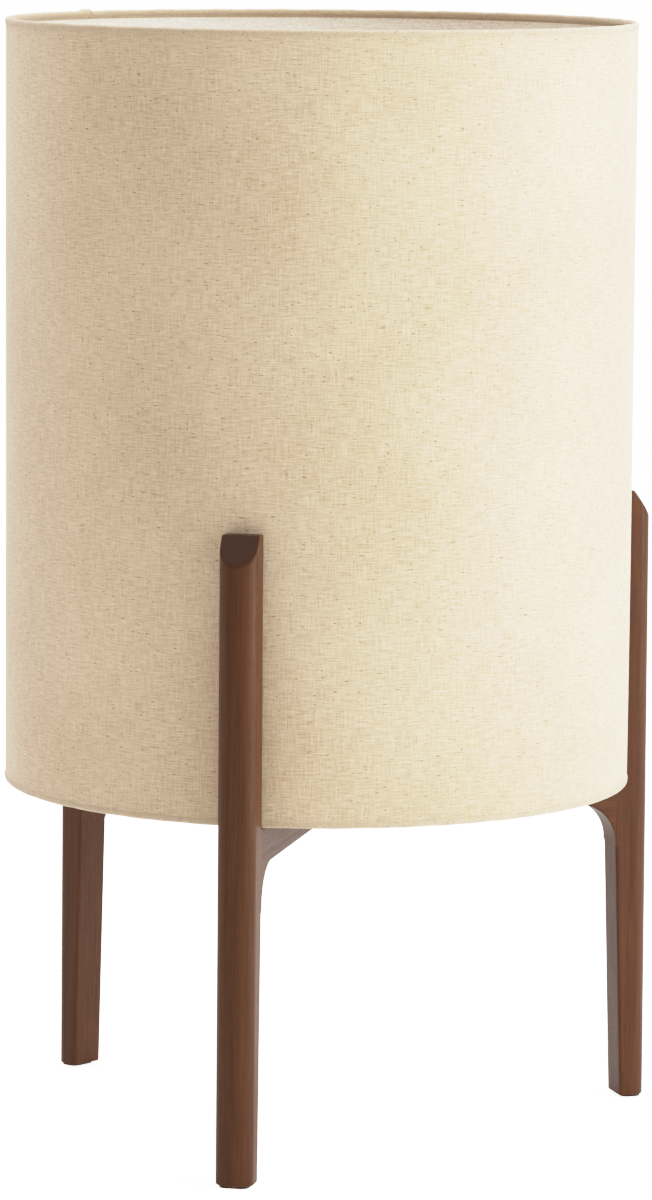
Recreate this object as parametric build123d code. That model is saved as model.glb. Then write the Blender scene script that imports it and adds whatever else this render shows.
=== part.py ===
from build123d import *
import os
from math import cos, radians, sin, sqrt, tan

# A tripod drum lamp. Three walnut legs, each a post dowelled to a level arm, meet at a wooden hub.
# The shade stands on the three arms, between the posts. A riser on the hub carries the lampholder and bulb.
# Millimetres, +Z up, floor at Z = 0. A leg points along -Y. Radii are measured from the lamp's own axis.

# Overall sizes
SHADE_DIAMETER = 450.0
SHADE_HEIGHT = 545.0
FLOOR_TO_SHADE = 248.0
POST_ABOVE_SHADE_BASE = 203.3

# Legs
LEG_DIRECTIONS = {"front": -90.0, "right": 30.0, "left": 150.0}
LEG_WIDTH = 27.0
POST_DEPTH = 25.0
POST_GAP = 2.0
POST_CAP_DEPTH = 9.5
POST_EDGE = 2.0
POST_TOP_FLAT = 10.5
POST_TOP_SLOPE = 54.5
POST_TOP_EDGE = 1.0
FOOT_INSIDE_TAPER = 6.0
FOOT_OUTSIDE_LEAN = 2.0
FOOT_EDGE = 1.5
FOOT_PAD_THICKNESS = 1.5
FOOT_PAD_MARGIN = 3.0
ARM_HEIGHT = 26.5
ARM_EDGE = 1.2
KNEE_RADIUS = 30.0
KNEE_TIP = 0.4
SEAT_GAP = 0.3

# Joints in the wood
DOWEL_RADIUS = 4.0
DOWEL_SPACING = 14.0
DOWEL_LENGTH = 30.0
DOWEL_END_ROOM = 1.0

# Hub
HUB_ACROSS_FLATS = 90.0
HUB_CORNER = 8.0
HUB_COUNTERBORE_RADIUS = 13.0
HUB_COUNTERBORE_DEPTH = 13.0
PLATE_RADIUS = 62.0
PLATE_THICKNESS = 2.5
ARM_SCREW_CIRCLE = 53.0
HUB_SCREW_CIRCLE = 30.0
PLATE_SCREW_RADIUS = 1.75
PLATE_SCREW_HEAD_RADIUS = 3.6
PLATE_SCREW_LENGTH = 16.0
COVER_RADIUS = 36.0
COVER_THICKNESS = 2.0
COVER_SCREW_CIRCLE = 28.0
COVER_SCREW_RADIUS = 1.4
COVER_SCREW_HEAD_RADIUS = 2.8
COVER_SCREW_HEAD_HEIGHT = 1.6
COVER_SCREW_CROWN = 0.6
COVER_SCREW_LENGTH = 10.0

# Cord outlet
CORD_BORE_RADIUS = 3.75
BUSHING_RADIUS = 7.0
BUSHING_FLANGE_RADIUS = 9.5
BUSHING_FLANGE_THICKNESS = 1.5
BUSHING_REACH = 4.0

# Riser
ROD_RADIUS = 5.0
ROD_BORE_RADIUS = 3.75
ROD_CLEARANCE = 0.4
ROD_BELOW_NUT = 1.5
NUT_ACROSS_FLATS = 14.0
NUT_HEIGHT = 4.0
WASHER_RADIUS = 10.5
WASHER_THICKNESS = 1.5
LOCK_WASHER_RADIUS = 8.5
LOCK_WASHER_THICKNESS = 1.2
SEAT_CUP_RADIUS = 15.0
SEAT_CUP_HEIGHT = 7.0
SEAT_CUP_SOCKET_DEPTH = 4.0
SEAT_CUP_EDGE = 2.3
SEAT_CUP_RIM = 2.0
RISER_RADIUS = 8.0
RISER_WALL = 1.2
RISER_LENGTH = 120.0
RISER_FIT = 0.2

# Lampholder, heights above its own base
BOSS_RADIUS = 8.0
BOSS_HEIGHT = 10.0
DOME_HEIGHT = 20.0
LIP_HEIGHT = 27.0
HOLDER_WALL = 0.6
BOSS_ROUND = 1.0
DOME_ROUND = 3.0
DOME_SHOULDER = 4.0
SHELL_REST = 0.3
SHELL_RADIUS = 17.0
SHELL_BASE = 21.0
SHELL_TOP = 67.0
MOUTH_ROLL = 1.0
SLEEVE_GAP = 0.2
SLEEVE_WALL = 0.7
SLEEVE_BASE = 25.0
SLEEVE_TOP = 65.0
SWITCH_BASE = 25.5
SWITCH_TOP = 42.0
SWITCH_GAP = 0.4
TERMINAL_FLAT = 10.5
TERMINAL_SCREW_RADIUS = 1.5
TERMINAL_HEAD_RADIUS = 3.0
TERMINAL_HEAD_HEIGHT = 1.8
TERMINAL_DEPTH = 5.0
TERMINAL_HEIGHT = 31.0
SET_SCREW_RADIUS = 1.5
SET_SCREW_GAP = 0.05
SOCKET_RADIUS = 13.6
SOCKET_WALL = 0.4
SOCKET_TOP = 66.0
CONTACT_HEIGHT = 2.6
CONTACT_WIDTH = 6.0
CONTACT_THICKNESS = 0.5
CONTACT_ROOM = 2.0
CONTACT_FOOT = 1.5
CONTACT_RISE = 1.0
CONTACT_BEND = 0.4

# Knob
KNOB_HEIGHT = 35.5
SHAFT_RADIUS = 1.6
SHAFT_RUNNING_CLEARANCE = 0.05
SHAFT_INNER_END = 4.0
SHAFT_HOLE_CLEARANCE = 1.2
SHAFT_END_ROOM = 0.5
KNOB_RADIUS = 6.5
KNOB_LENGTH = 14.0
KNOB_GAP = 4.0
KNOB_SKIRT_RADIUS = 7.5
KNOB_SKIRT_LENGTH = 2.5
KNOB_BLIND_END = 2.0
KNOB_EDGE = 1.0

# Bulb, heights above its own contact
BULB_CLEARANCE = 0.6
BULB_CONTACT_GAP = 0.3
BULB_CONTACT_RADIUS = 4.5
BULB_CONTACT_HEIGHT = 1.6
BULB_CONTACT_RIM = 0.6
BULB_INSULATOR_LEDGE = 1.0
BULB_INSULATOR_HEIGHT = 3.4
BULB_CAP_WALL = 0.35
BULB_CAP_TOP = 24.5
BULB_CAP_SHOULDER = 6.0
BULB_CAP_TAPER = 3.0
BULB_RADIUS = 30.0
BULB_LENGTH = 108.0
BULB_GLASS_WALL = 0.8
BULB_NECK_RADIUS = 12.4
BULB_NECK_BASE = 22.5
BULB_NECK_TOP = 28.0
STEM_FLARE_RADIUS = 11.0
STEM_RADIUS = 4.2
STEM_TIP_RADIUS = 2.2
STEM_SHOULDER = 46.0
STEM_TIP = 90.0
STEM_FLARE_EDGE = 1.0
STEM_FLARE_HEIGHT = 8.0
STEM_NARROWING = 4.0
FILAMENT_COUNT = 4
FILAMENT_RADIUS = 1.0
FILAMENT_LENGTH = 36.0
FILAMENT_BASE_CIRCLE = 7.0
FILAMENT_TOP_CIRCLE = 11.0
FILAMENT_BASE = 50.0
SUPPORT_RADIUS = 0.35
SUPPORT_GAP = 0.1
SUPPORT_DEPTH = 3.0

# Shade
HEM_TAPE = 0.6
FABRIC = 0.6
LINER = 0.5
RING_WIRE_RADIUS = 1.0
RING_ROOM = 0.08
HEM_OUTSIDE = 4.5
HEM_INSIDE = 4.0

# Everything below is worked out from the sizes above.
SHADE_RADIUS = SHADE_DIAMETER / 2
SHADE_TOP = FLOOR_TO_SHADE + SHADE_HEIGHT
POST_TOP = FLOOR_TO_SHADE + POST_ABOVE_SHADE_BASE
POST_INSIDE = SHADE_RADIUS + POST_GAP
POST_OUTSIDE = POST_INSIDE + POST_DEPTH
FOOT_INSIDE = POST_INSIDE + FOOT_INSIDE_TAPER
FOOT_OUTSIDE = POST_OUTSIDE + FOOT_OUTSIDE_LEAN
ARM_TOP = FLOOR_TO_SHADE - SEAT_GAP
ARM_UNDER = ARM_TOP - ARM_HEIGHT
ARM_MIDDLE = (ARM_TOP + ARM_UNDER) / 2
KNEE_BASE = ARM_UNDER - KNEE_RADIUS
HUB_FLAT = HUB_ACROSS_FLATS / 2
COUNTERBORE_TOP = ARM_UNDER + HUB_COUNTERBORE_DEPTH
PLATE_TOP = ARM_TOP + PLATE_THICKNESS
LOWER_NUT_TOP = COUNTERBORE_TOP - WASHER_THICKNESS
ROD_BASE = LOWER_NUT_TOP - NUT_HEIGHT - ROD_BELOW_NUT
RISER_BASE = PLATE_TOP + SEAT_CUP_HEIGHT - SEAT_CUP_SOCKET_DEPTH
RISER_TOP = RISER_BASE + RISER_LENGTH
LOCK_NUT_BASE = RISER_TOP + LOCK_WASHER_THICKNESS
HOLDER_BASE = LOCK_NUT_BASE + NUT_HEIGHT
ROD_TOP = HOLDER_BASE + BOSS_HEIGHT
SLEEVE_RADIUS = SHELL_RADIUS - HOLDER_WALL - SLEEVE_GAP
SWITCH_RADIUS = SLEEVE_RADIUS - SLEEVE_WALL - SWITCH_GAP
KNOB_AXIS_Z = HOLDER_BASE + KNOB_HEIGHT
KNOB_INSIDE = SHELL_RADIUS + KNOB_GAP
BULB_BASE = HOLDER_BASE + SWITCH_TOP + CONTACT_HEIGHT + BULB_CONTACT_GAP
BULB_CAP_RADIUS = SOCKET_RADIUS - BULB_CLEARANCE

# The front leg stands out past the shade and nothing does behind, so the lamp's axis lies a little
# behind the origin, which is the middle of the footprint.
AXIS_Y = (FOOT_OUTSIDE - SHADE_RADIUS) / 2


def turned(points):
    """A solid of revolution about the lamp's axis, from (radius, height) corners."""
    outline = Polyline(*[(radius, 0, height) for radius, height in points], close=True)
    return revolve(make_face(outline), Axis.Z)


def rod(radius, low, high):
    """A plain cylinder on the lamp's axis between two heights."""
    return Pos(0, 0, (low + high) / 2) * Cylinder(radius, high - low)


def tube(outside, inside, low, high):
    """A round tube on the lamp's axis between two heights."""
    return rod(outside, low, high) - rod(inside, low, high)


def across(radius, near, far, height, lateral=0.0):
    """A cylinder along +X from near to far, at one height."""
    place = Pos((near + far) / 2, lateral, height) * Rot(0, 90, 0)
    return place * Cylinder(radius, far - near)


def around(shape, direction):
    """The shape turned about the lamp's axis, from +X to a direction in degrees."""
    return Rot(0, 0, direction) * shape


def all_round(shape, directions):
    """Copies of one shape, one at each direction, as separate solids of one node."""
    return Compound([around(shape, direction).solid() for direction in directions])


# Legs

def post_section(inside, outside, height):
    """A post's section at one height: flat inner face and sides, eased inner corners, rounded outer face."""
    half = LEG_WIDTH / 2
    shoulder = outside - POST_CAP_DEPTH
    cap = EllipticalCenterArc((shoulder, 0), POST_CAP_DEPTH, half, start_angle=-90, arc_size=180)
    flats = Polyline((shoulder, half), (inside, half), (inside, -half), (shoulder, -half))
    section = make_face([cap, flats])
    corners = section.vertices().group_by(Axis.X)[0]
    return Pos(0, 0, height) * fillet(corners, POST_EDGE)


def leaning(inside_a, outside_a, height_a, inside_b, outside_b, height_b):
    """A stretch of post between two of its sections."""
    low = post_section(inside_a, outside_a, height_a)
    high = post_section(inside_b, outside_b, height_b)
    return loft([low.face(), high.face()], ruled=True)


def outer_radius_at(height):
    """The post's outer face leans in by FOOT_OUTSIDE_LEAN from the floor to the top."""
    return FOOT_OUTSIDE - FOOT_OUTSIDE_LEAN * height / POST_TOP


def post():
    """One post along +X: tapered below the knee and plumb above it. Its inner corners are left square
    where the arm meets it. Its top is level for a little way and then sliced off at a slope."""
    foot = FOOT_PAD_THICKNESS
    low = leaning(FOOT_INSIDE, outer_radius_at(foot), foot,
                  POST_INSIDE, outer_radius_at(KNEE_BASE), KNEE_BASE)
    high = leaning(POST_INSIDE, outer_radius_at(KNEE_BASE), KNEE_BASE,
                   POST_INSIDE, outer_radius_at(POST_TOP), POST_TOP)
    body = low + high
    body = chamfer(body.edges().group_by(Axis.Z)[0], FOOT_EDGE)
    slope_start = POST_INSIDE + POST_TOP_FLAT
    slope_end = slope_start + POST_DEPTH
    drop = POST_DEPTH * tan(radians(POST_TOP_SLOPE))
    slope = Polyline((slope_start, 0, POST_TOP), (slope_end, 0, POST_TOP),
                     (slope_end, 0, POST_TOP - drop), close=True)
    body -= extrude(make_face(slope), LEG_WIDTH, both=True)
    crown = [face for face in body.faces() if face.center().Z > POST_TOP - drop
             and face.normal_at(face.center()).Z > cos(radians(POST_TOP_SLOPE)) - 0.01]
    body = chamfer({edge for face in crown for edge in face.edges()}, POST_TOP_EDGE)
    joint = Pos(POST_INSIDE + POST_EDGE / 2, 0, (ARM_TOP + KNEE_BASE) / 2)
    body += joint * Box(POST_EDGE, LEG_WIDTH, ARM_TOP - KNEE_BASE)
    return body - dowel_pair(POST_INSIDE, DOWEL_END_ROOM / 2)


def dowel_pair(face_radius, extra=0.0):
    """Two dowels side by side through a joint face at one radius, or their holes with extra at each end."""
    near = face_radius - DOWEL_LENGTH / 2 - extra
    far = face_radius + DOWEL_LENGTH / 2 + extra
    return Compound([across(DOWEL_RADIUS, near, far, ARM_MIDDLE, side * DOWEL_SPACING / 2).solid()
                     for side in (-1, 1)])


def dowels_all_round(face_radius):
    """The dowel pairs of all three legs at one joint face."""
    pairs = [around(dowel_pair(face_radius), direction) for direction in LEG_DIRECTIONS.values()]
    return Compound([dowel for pair in pairs for dowel in pair.solids()])


def arm():
    """One arm along +X: level, from the hub's flat to the post, sweeping down into the post at the knee."""
    knee_start = POST_INSIDE - KNEE_TIP - KNEE_RADIUS
    uncut = POST_INSIDE + 2 * ARM_EDGE
    under = Polyline((uncut, 0, KNEE_BASE), (uncut, 0, ARM_TOP), (HUB_FLAT, 0, ARM_TOP),
                     (HUB_FLAT, 0, ARM_UNDER), (knee_start, 0, ARM_UNDER))
    half_turn = radians(45)
    middle = (knee_start + KNEE_RADIUS * sin(half_turn), 0, KNEE_BASE + KNEE_RADIUS * cos(half_turn))
    sweep_down = ThreePointArc((knee_start, 0, ARM_UNDER), middle, (POST_INSIDE - KNEE_TIP, 0, KNEE_BASE))
    tip = Line((POST_INSIDE - KNEE_TIP, 0, KNEE_BASE), (uncut, 0, KNEE_BASE))
    side = make_face([under, sweep_down, tip])
    body = extrude(side, LEG_WIDTH / 2, both=True)
    lower = [edge for edge in body.edges() if edge.center().Z < ARM_UNDER + 0.01
             and abs(abs(edge.center().Y) - LEG_WIDTH / 2) < 0.01
             and edge.center().X < POST_INSIDE - KNEE_TIP]
    body = fillet(lower, ARM_EDGE)
    body -= Pos((POST_INSIDE + uncut) / 2, 0, ARM_UNDER) * Box(uncut - POST_INSIDE, LEG_WIDTH, 2 * ARM_UNDER)
    extra = DOWEL_END_ROOM / 2
    body -= dowel_pair(POST_INSIDE, extra)
    body -= dowel_pair(HUB_FLAT, extra)
    return body - plate_screw(ARM_SCREW_CIRCLE)


def foot_pad():
    """A felt pad under one foot, inside the foot's edges."""
    inside = FOOT_INSIDE + FOOT_PAD_MARGIN
    outside = FOOT_OUTSIDE - FOOT_PAD_MARGIN
    width = LEG_WIDTH - 2 * FOOT_PAD_MARGIN
    centre = Pos((inside + outside) / 2, 0, FOOT_PAD_THICKNESS / 2)
    pad = centre * Box(outside - inside, width, FOOT_PAD_THICKNESS)
    return fillet(pad.edges().filter_by(Axis.Z), (outside - inside) / 3)


# Hub

def plate_screw(circle):
    """A countersunk wood screw down through the hub plate, at one radius along +X."""
    head_height = PLATE_SCREW_HEAD_RADIUS - PLATE_SCREW_RADIUS
    tip = PLATE_TOP - PLATE_SCREW_LENGTH
    corners = [(0, PLATE_TOP), (PLATE_SCREW_HEAD_RADIUS, PLATE_TOP),
               (PLATE_SCREW_RADIUS, PLATE_TOP - head_height),
               (PLATE_SCREW_RADIUS, tip + 2 * PLATE_SCREW_RADIUS), (0, tip)]
    return Pos(circle, 0, 0) * turned(corners)


def hub_screw_directions():
    """The hub's own screws stand midway between the arms."""
    return [direction + 60 for direction in LEG_DIRECTIONS.values()]


def all_plate_screws():
    """Every screw through the hub plate: one into each arm, and three into the hub between them."""
    into_arms = [around(plate_screw(ARM_SCREW_CIRCLE), direction) for direction in LEG_DIRECTIONS.values()]
    into_hub = [around(plate_screw(HUB_SCREW_CIRCLE), direction) for direction in hub_screw_directions()]
    return Compound([screw.solid() for screw in into_arms + into_hub])


def cover_screw():
    """A round-headed screw up through the under-cover, along +X."""
    head_base = ARM_UNDER - COVER_THICKNESS
    tip = head_base + COVER_SCREW_LENGTH
    crown = head_base - COVER_SCREW_HEAD_HEIGHT
    rim = head_base - (1 - COVER_SCREW_CROWN) * COVER_SCREW_HEAD_HEIGHT
    corners = [(0, crown), (COVER_SCREW_CROWN * COVER_SCREW_HEAD_RADIUS, crown),
               (COVER_SCREW_HEAD_RADIUS, rim), (COVER_SCREW_HEAD_RADIUS, head_base),
               (COVER_SCREW_RADIUS, head_base), (COVER_SCREW_RADIUS, tip - 2 * COVER_SCREW_RADIUS), (0, tip)]
    return Pos(COVER_SCREW_CIRCLE, 0, 0) * turned(corners)


def hub_block():
    """The six-sided block the arms butt against, bored for the rod and counterbored for its lower nut."""
    corner = HUB_FLAT / cos(radians(30))
    outline = RegularPolygon(corner, 6, rotation=0)
    outline = fillet(outline.vertices(), HUB_CORNER)
    body = Pos(0, 0, ARM_UNDER) * extrude(outline, ARM_HEIGHT)
    body -= rod(ROD_RADIUS + ROD_CLEARANCE, ARM_UNDER, ARM_TOP)
    body -= rod(HUB_COUNTERBORE_RADIUS, ARM_UNDER, COUNTERBORE_TOP)
    for direction in LEG_DIRECTIONS.values():
        body -= around(dowel_pair(HUB_FLAT, DOWEL_END_ROOM / 2), direction)
    for direction in hub_screw_directions():
        body -= around(plate_screw(HUB_SCREW_CIRCLE) + cover_screw(), direction)
    return body


def hub_plate():
    """The round steel plate across the hub and the arm ends, with countersunk holes."""
    body = tube(PLATE_RADIUS, ROD_RADIUS + ROD_CLEARANCE, ARM_TOP, PLATE_TOP)
    for direction in LEG_DIRECTIONS.values():
        body -= around(plate_screw(ARM_SCREW_CIRCLE), direction)
    for direction in hub_screw_directions():
        body -= around(plate_screw(HUB_SCREW_CIRCLE), direction)
    return body


def under_cover():
    """The thin round cover that closes the hub from below, with the cord's bushing in its middle."""
    body = tube(COVER_RADIUS, BUSHING_RADIUS, ARM_UNDER - COVER_THICKNESS, ARM_UNDER)
    for direction in hub_screw_directions():
        body -= around(cover_screw(), direction)
    return body


def cord_bushing():
    """The flanged bushing that the cord leaves through."""
    face = ARM_UNDER - COVER_THICKNESS
    flange = tube(BUSHING_FLANGE_RADIUS, CORD_BORE_RADIUS, face - BUSHING_FLANGE_THICKNESS, face)
    return flange + tube(BUSHING_RADIUS, CORD_BORE_RADIUS, face, ARM_UNDER + BUSHING_REACH)


# Riser

def hex_nut(low):
    """A hexagon nut on the threaded rod."""
    blank = extrude(RegularPolygon(NUT_ACROSS_FLATS / 2 / cos(radians(30)), 6), NUT_HEIGHT)
    return Pos(0, 0, low) * blank - rod(ROD_RADIUS, low, low + NUT_HEIGHT)


def seat_cup():
    """The turned cup on the hub plate that centres the riser's foot."""
    socket = RISER_RADIUS + RISER_FIT
    top = PLATE_TOP + SEAT_CUP_HEIGHT
    bore = ROD_RADIUS + ROD_CLEARANCE
    corners = [(bore, PLATE_TOP), (SEAT_CUP_RADIUS, PLATE_TOP), (SEAT_CUP_RADIUS, PLATE_TOP + SEAT_CUP_EDGE),
               (socket + SEAT_CUP_RIM, top), (socket, top), (socket, RISER_BASE), (bore, RISER_BASE)]
    return turned(corners)


# Lampholder

def holder_cap():
    """The spun cap: a boss threaded on the rod, a dome, and the lip that grips the shell."""
    boss_top = HOLDER_BASE + BOSS_HEIGHT
    dome_top = HOLDER_BASE + DOME_HEIGHT
    lip_top = HOLDER_BASE + LIP_HEIGHT
    lip = SHELL_RADIUS + HOLDER_WALL
    outside = [(ROD_RADIUS, HOLDER_BASE), (BOSS_RADIUS, HOLDER_BASE), (BOSS_RADIUS, boss_top - BOSS_ROUND),
               (lip - DOME_ROUND, dome_top - DOME_SHOULDER), (lip, dome_top), (lip, lip_top)]
    inside = [(SHELL_RADIUS, lip_top), (SHELL_RADIUS, dome_top + SHELL_REST),
              (lip - DOME_ROUND - HOLDER_WALL, dome_top - DOME_ROUND),
              (BOSS_RADIUS - BOSS_ROUND, boss_top), (ROD_RADIUS, boss_top)]
    return turned(outside + inside) - set_screw()


def set_screw():
    """The grub screw that locks the cap to the rod, along +Y."""
    screw = across(SET_SCREW_RADIUS, ROD_RADIUS + SET_SCREW_GAP, BOSS_RADIUS, HOLDER_BASE + BOSS_HEIGHT / 2)
    return around(screw, 90)


def shaft_hole(extra):
    """A hole for the knob's shaft through one side of the lampholder."""
    return across(SHAFT_RADIUS + extra, SHAFT_INNER_END - SHAFT_END_ROOM, SHELL_RADIUS + 1, KNOB_AXIS_Z)


def holder_shell():
    """The outer metal shell, rolled in a little at its mouth."""
    outside = SHELL_RADIUS
    inside = SHELL_RADIUS - HOLDER_WALL
    base = HOLDER_BASE + SHELL_BASE
    top = HOLDER_BASE + SHELL_TOP
    roll = top - MOUTH_ROLL
    outer_line = [(inside, base), (outside, base), (outside, roll), (outside - MOUTH_ROLL, top)]
    inner_line = [(inside - MOUTH_ROLL, top), (inside - MOUTH_ROLL, top - HOLDER_WALL),
                  (inside, roll - HOLDER_WALL)]
    return turned(outer_line + inner_line) - shaft_hole(SHAFT_HOLE_CLEARANCE)


def insulating_sleeve():
    """The fibre sleeve between the shell and the live parts."""
    low = HOLDER_BASE + SLEEVE_BASE
    body = tube(SLEEVE_RADIUS, SLEEVE_RADIUS - SLEEVE_WALL, low, HOLDER_BASE + SLEEVE_TOP)
    return body - shaft_hole(SHAFT_HOLE_CLEARANCE)


def terminal_screw():
    """One binding screw on the switch body's flat, along +X."""
    height = HOLDER_BASE + TERMINAL_HEIGHT
    shank = across(TERMINAL_SCREW_RADIUS, TERMINAL_FLAT - TERMINAL_DEPTH, TERMINAL_FLAT, height)
    return shank + across(TERMINAL_HEAD_RADIUS, TERMINAL_FLAT, TERMINAL_FLAT + TERMINAL_HEAD_HEIGHT, height)


def switch_body():
    """The moulded switch body that carries the terminals, the screw shell and the knob's shaft."""
    low = HOLDER_BASE + SWITCH_BASE
    body = rod(SWITCH_RADIUS, low, HOLDER_BASE + SWITCH_TOP)
    recess = 2 * (TERMINAL_HEIGHT - SWITCH_BASE)
    slab = Box(SWITCH_RADIUS, 2 * SWITCH_RADIUS, recess)
    flat = Pos(TERMINAL_FLAT + SWITCH_RADIUS / 2, 0, low + recess / 2) * slab
    for direction in (90, -90):
        body -= around(flat, direction)
        body -= around(terminal_screw(), direction)
    return body - shaft_hole(SHAFT_RUNNING_CLEARANCE)


def screw_shell():
    """The threaded brass shell that takes the bulb's cap, open at the top."""
    low = HOLDER_BASE + SWITCH_TOP
    top = HOLDER_BASE + SOCKET_TOP
    outside = SOCKET_RADIUS + SOCKET_WALL
    floor_top = low + SOCKET_WALL
    hole = CONTACT_WIDTH / 2 + CONTACT_ROOM
    corners = [(hole, low), (outside, low), (outside, top), (SOCKET_RADIUS, top),
               (SOCKET_RADIUS, floor_top), (hole, floor_top)]
    return turned(corners)


def centre_contact():
    """The sprung tongue that touches the bulb's centre, a foot on the switch body and a raised pad."""
    low = HOLDER_BASE + SWITCH_TOP
    half = CONTACT_WIDTH / 2
    top = low + CONTACT_HEIGHT
    thick = CONTACT_THICKNESS
    foot = -half + CONTACT_FOOT
    corners = [(-half, 0, low), (foot, 0, low), (foot + CONTACT_RISE, 0, top - thick), (half, 0, top - thick),
               (half, 0, top), (foot + CONTACT_RISE - CONTACT_BEND, 0, top),
               (foot - CONTACT_BEND, 0, low + thick), (-half, 0, low + thick)]
    return extrude(make_face(Polyline(*corners, close=True)), half / 2, both=True)


# Knob

def knob_shaft():
    """The switch's turning shaft, along +X."""
    return across(SHAFT_RADIUS, SHAFT_INNER_END, KNOB_INSIDE + KNOB_LENGTH - KNOB_BLIND_END, KNOB_AXIS_Z)


def turn_knob():
    """The knob: a skirt and a grip with finger flats, pressed on the shaft."""
    skirt = across(KNOB_SKIRT_RADIUS, KNOB_INSIDE, KNOB_INSIDE + KNOB_SKIRT_LENGTH, KNOB_AXIS_Z)
    grip = across(KNOB_RADIUS, KNOB_INSIDE, KNOB_INSIDE + KNOB_LENGTH, KNOB_AXIS_Z)
    grip = chamfer(grip.edges().sort_by(Axis.X)[-1], KNOB_EDGE)
    flat_depth = KNOB_RADIUS - KNOB_RADIUS / 2
    for side in (-1, 1):
        x = KNOB_INSIDE + KNOB_SKIRT_LENGTH + KNOB_LENGTH / 2
        y = side * (KNOB_RADIUS / 2 + flat_depth)
        grip -= Pos(x, y, KNOB_AXIS_Z) * Box(KNOB_LENGTH, 2 * flat_depth, 3 * KNOB_RADIUS)
    return skirt + grip - knob_shaft()


# Bulb

def bulb_cap():
    """The bulb's screw cap, a thin cup that tapers to the insulator."""
    low = BULB_BASE + BULB_INSULATOR_HEIGHT
    shoulder = BULB_BASE + BULB_CAP_SHOULDER
    top = BULB_BASE + BULB_CAP_TOP
    wall = BULB_CAP_WALL
    neck = BULB_CAP_RADIUS - BULB_CAP_TAPER
    bore = BULB_CAP_RADIUS - wall
    outside = [(neck, low), (BULB_CAP_RADIUS, shoulder), (BULB_CAP_RADIUS, top)]
    inside = [(bore, top), (bore, shoulder + wall / 2), (neck - wall, low + wall), (neck - wall, low)]
    return turned(outside + inside)


def bulb_insulator():
    """The black glass disc between the cap and the centre contact."""
    low = BULB_BASE + BULB_CONTACT_HEIGHT
    top = BULB_BASE + BULB_INSULATOR_HEIGHT
    neck = BULB_CAP_RADIUS - BULB_CAP_TAPER
    return turned([(0, low), (BULB_CONTACT_RADIUS + BULB_INSULATOR_LEDGE, low), (neck, top), (0, top)])


def bulb_contact():
    """The soldered button at the bulb's foot."""
    low = BULB_BASE
    top = BULB_BASE + BULB_CONTACT_HEIGHT
    return turned([(0, low), (BULB_CONTACT_RADIUS / 2, low), (BULB_CONTACT_RADIUS, top - BULB_CONTACT_RIM),
                   (BULB_CONTACT_RADIUS, top), (0, top)])


def bulb_outline(inset):
    """Half of the glass, from its neck up to its crown: a neck, a flowing shoulder and a round top."""
    neck = BULB_NECK_RADIUS - inset
    round_radius = BULB_RADIUS - inset
    centre = BULB_BASE + BULB_LENGTH - BULB_RADIUS
    base = (neck, 0, BULB_BASE + BULB_NECK_BASE)
    neck_top = (neck, 0, BULB_BASE + BULB_NECK_TOP)
    widest = (round_radius, 0, centre)
    straight = Line(base, neck_top)
    shoulder = Spline(neck_top, widest, tangents=[(0, 0, 1), (0, 0, 1)])
    eighth = radians(45)
    bend = (round_radius * cos(eighth), 0, centre + round_radius * sin(eighth))
    crown = ThreePointArc(widest, bend, (0, 0, centre + round_radius))
    return [straight, shoulder, crown]


def bulb_glass():
    """The blown glass, one even wall."""
    outside = bulb_outline(0.0)
    inside = bulb_outline(BULB_GLASS_WALL)
    foot = Line(outside[0] @ 0, inside[0] @ 0)
    crown = Line(outside[2] @ 1, inside[2] @ 1)
    return revolve(make_face(outside + inside + [foot, crown]), Axis.Z)


def bulb_stem():
    """The glass stem that seals the neck and holds the wires."""
    low = BULB_BASE + BULB_NECK_BASE
    shoulder = BULB_BASE + STEM_SHOULDER
    tip = BULB_BASE + STEM_TIP
    corners = [(0, low), (STEM_FLARE_RADIUS, low), (STEM_FLARE_RADIUS, low + STEM_FLARE_EDGE),
               (STEM_RADIUS, low + STEM_FLARE_HEIGHT), (STEM_RADIUS, shoulder - STEM_NARROWING),
               (STEM_TIP_RADIUS, shoulder), (STEM_TIP_RADIUS, tip), (0, tip)]
    return turned(corners)


def between(start, end, radius):
    """A thin round bar from one point to another."""
    path = Line(start, end)
    return sweep(Plane(origin=start, z_dir=path % 0) * Circle(radius), path)


def filament_ends():
    """The lower and upper end of the filament that stands along +X."""
    spread = FILAMENT_TOP_CIRCLE - FILAMENT_BASE_CIRCLE
    rise = sqrt(FILAMENT_LENGTH ** 2 - spread ** 2)
    low = Vector(FILAMENT_BASE_CIRCLE, 0, BULB_BASE + FILAMENT_BASE)
    return low, Vector(FILAMENT_TOP_CIRCLE, 0, low.Z + rise)


def filament_directions():
    """Even spacing round the stem."""
    return [360 / FILAMENT_COUNT * (index + 0.5) for index in range(FILAMENT_COUNT)]


def filament():
    """One filament, leaning outwards."""
    low, high = filament_ends()
    return between(low, high, FILAMENT_RADIUS)


def support(end, stem_height):
    """One wire from the stem's glass out to just short of a filament's end."""
    inner = Vector(STEM_TIP_RADIUS / 2, 0, BULB_BASE + stem_height)
    outer = end - (end - inner).normalized() * (FILAMENT_RADIUS + SUPPORT_GAP)
    return between(inner, outer, SUPPORT_RADIUS) - bulb_stem()


def bulb_supports():
    """The lead-in wires below the filaments and the anchors above them."""
    low, high = filament_ends()
    lower = all_round(support(low, STEM_SHOULDER - SUPPORT_DEPTH), filament_directions())
    upper = all_round(support(high, STEM_TIP - SUPPORT_DEPTH), filament_directions())
    return Compound(list(lower.solids()) + list(upper.solids()))


# Shade

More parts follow.
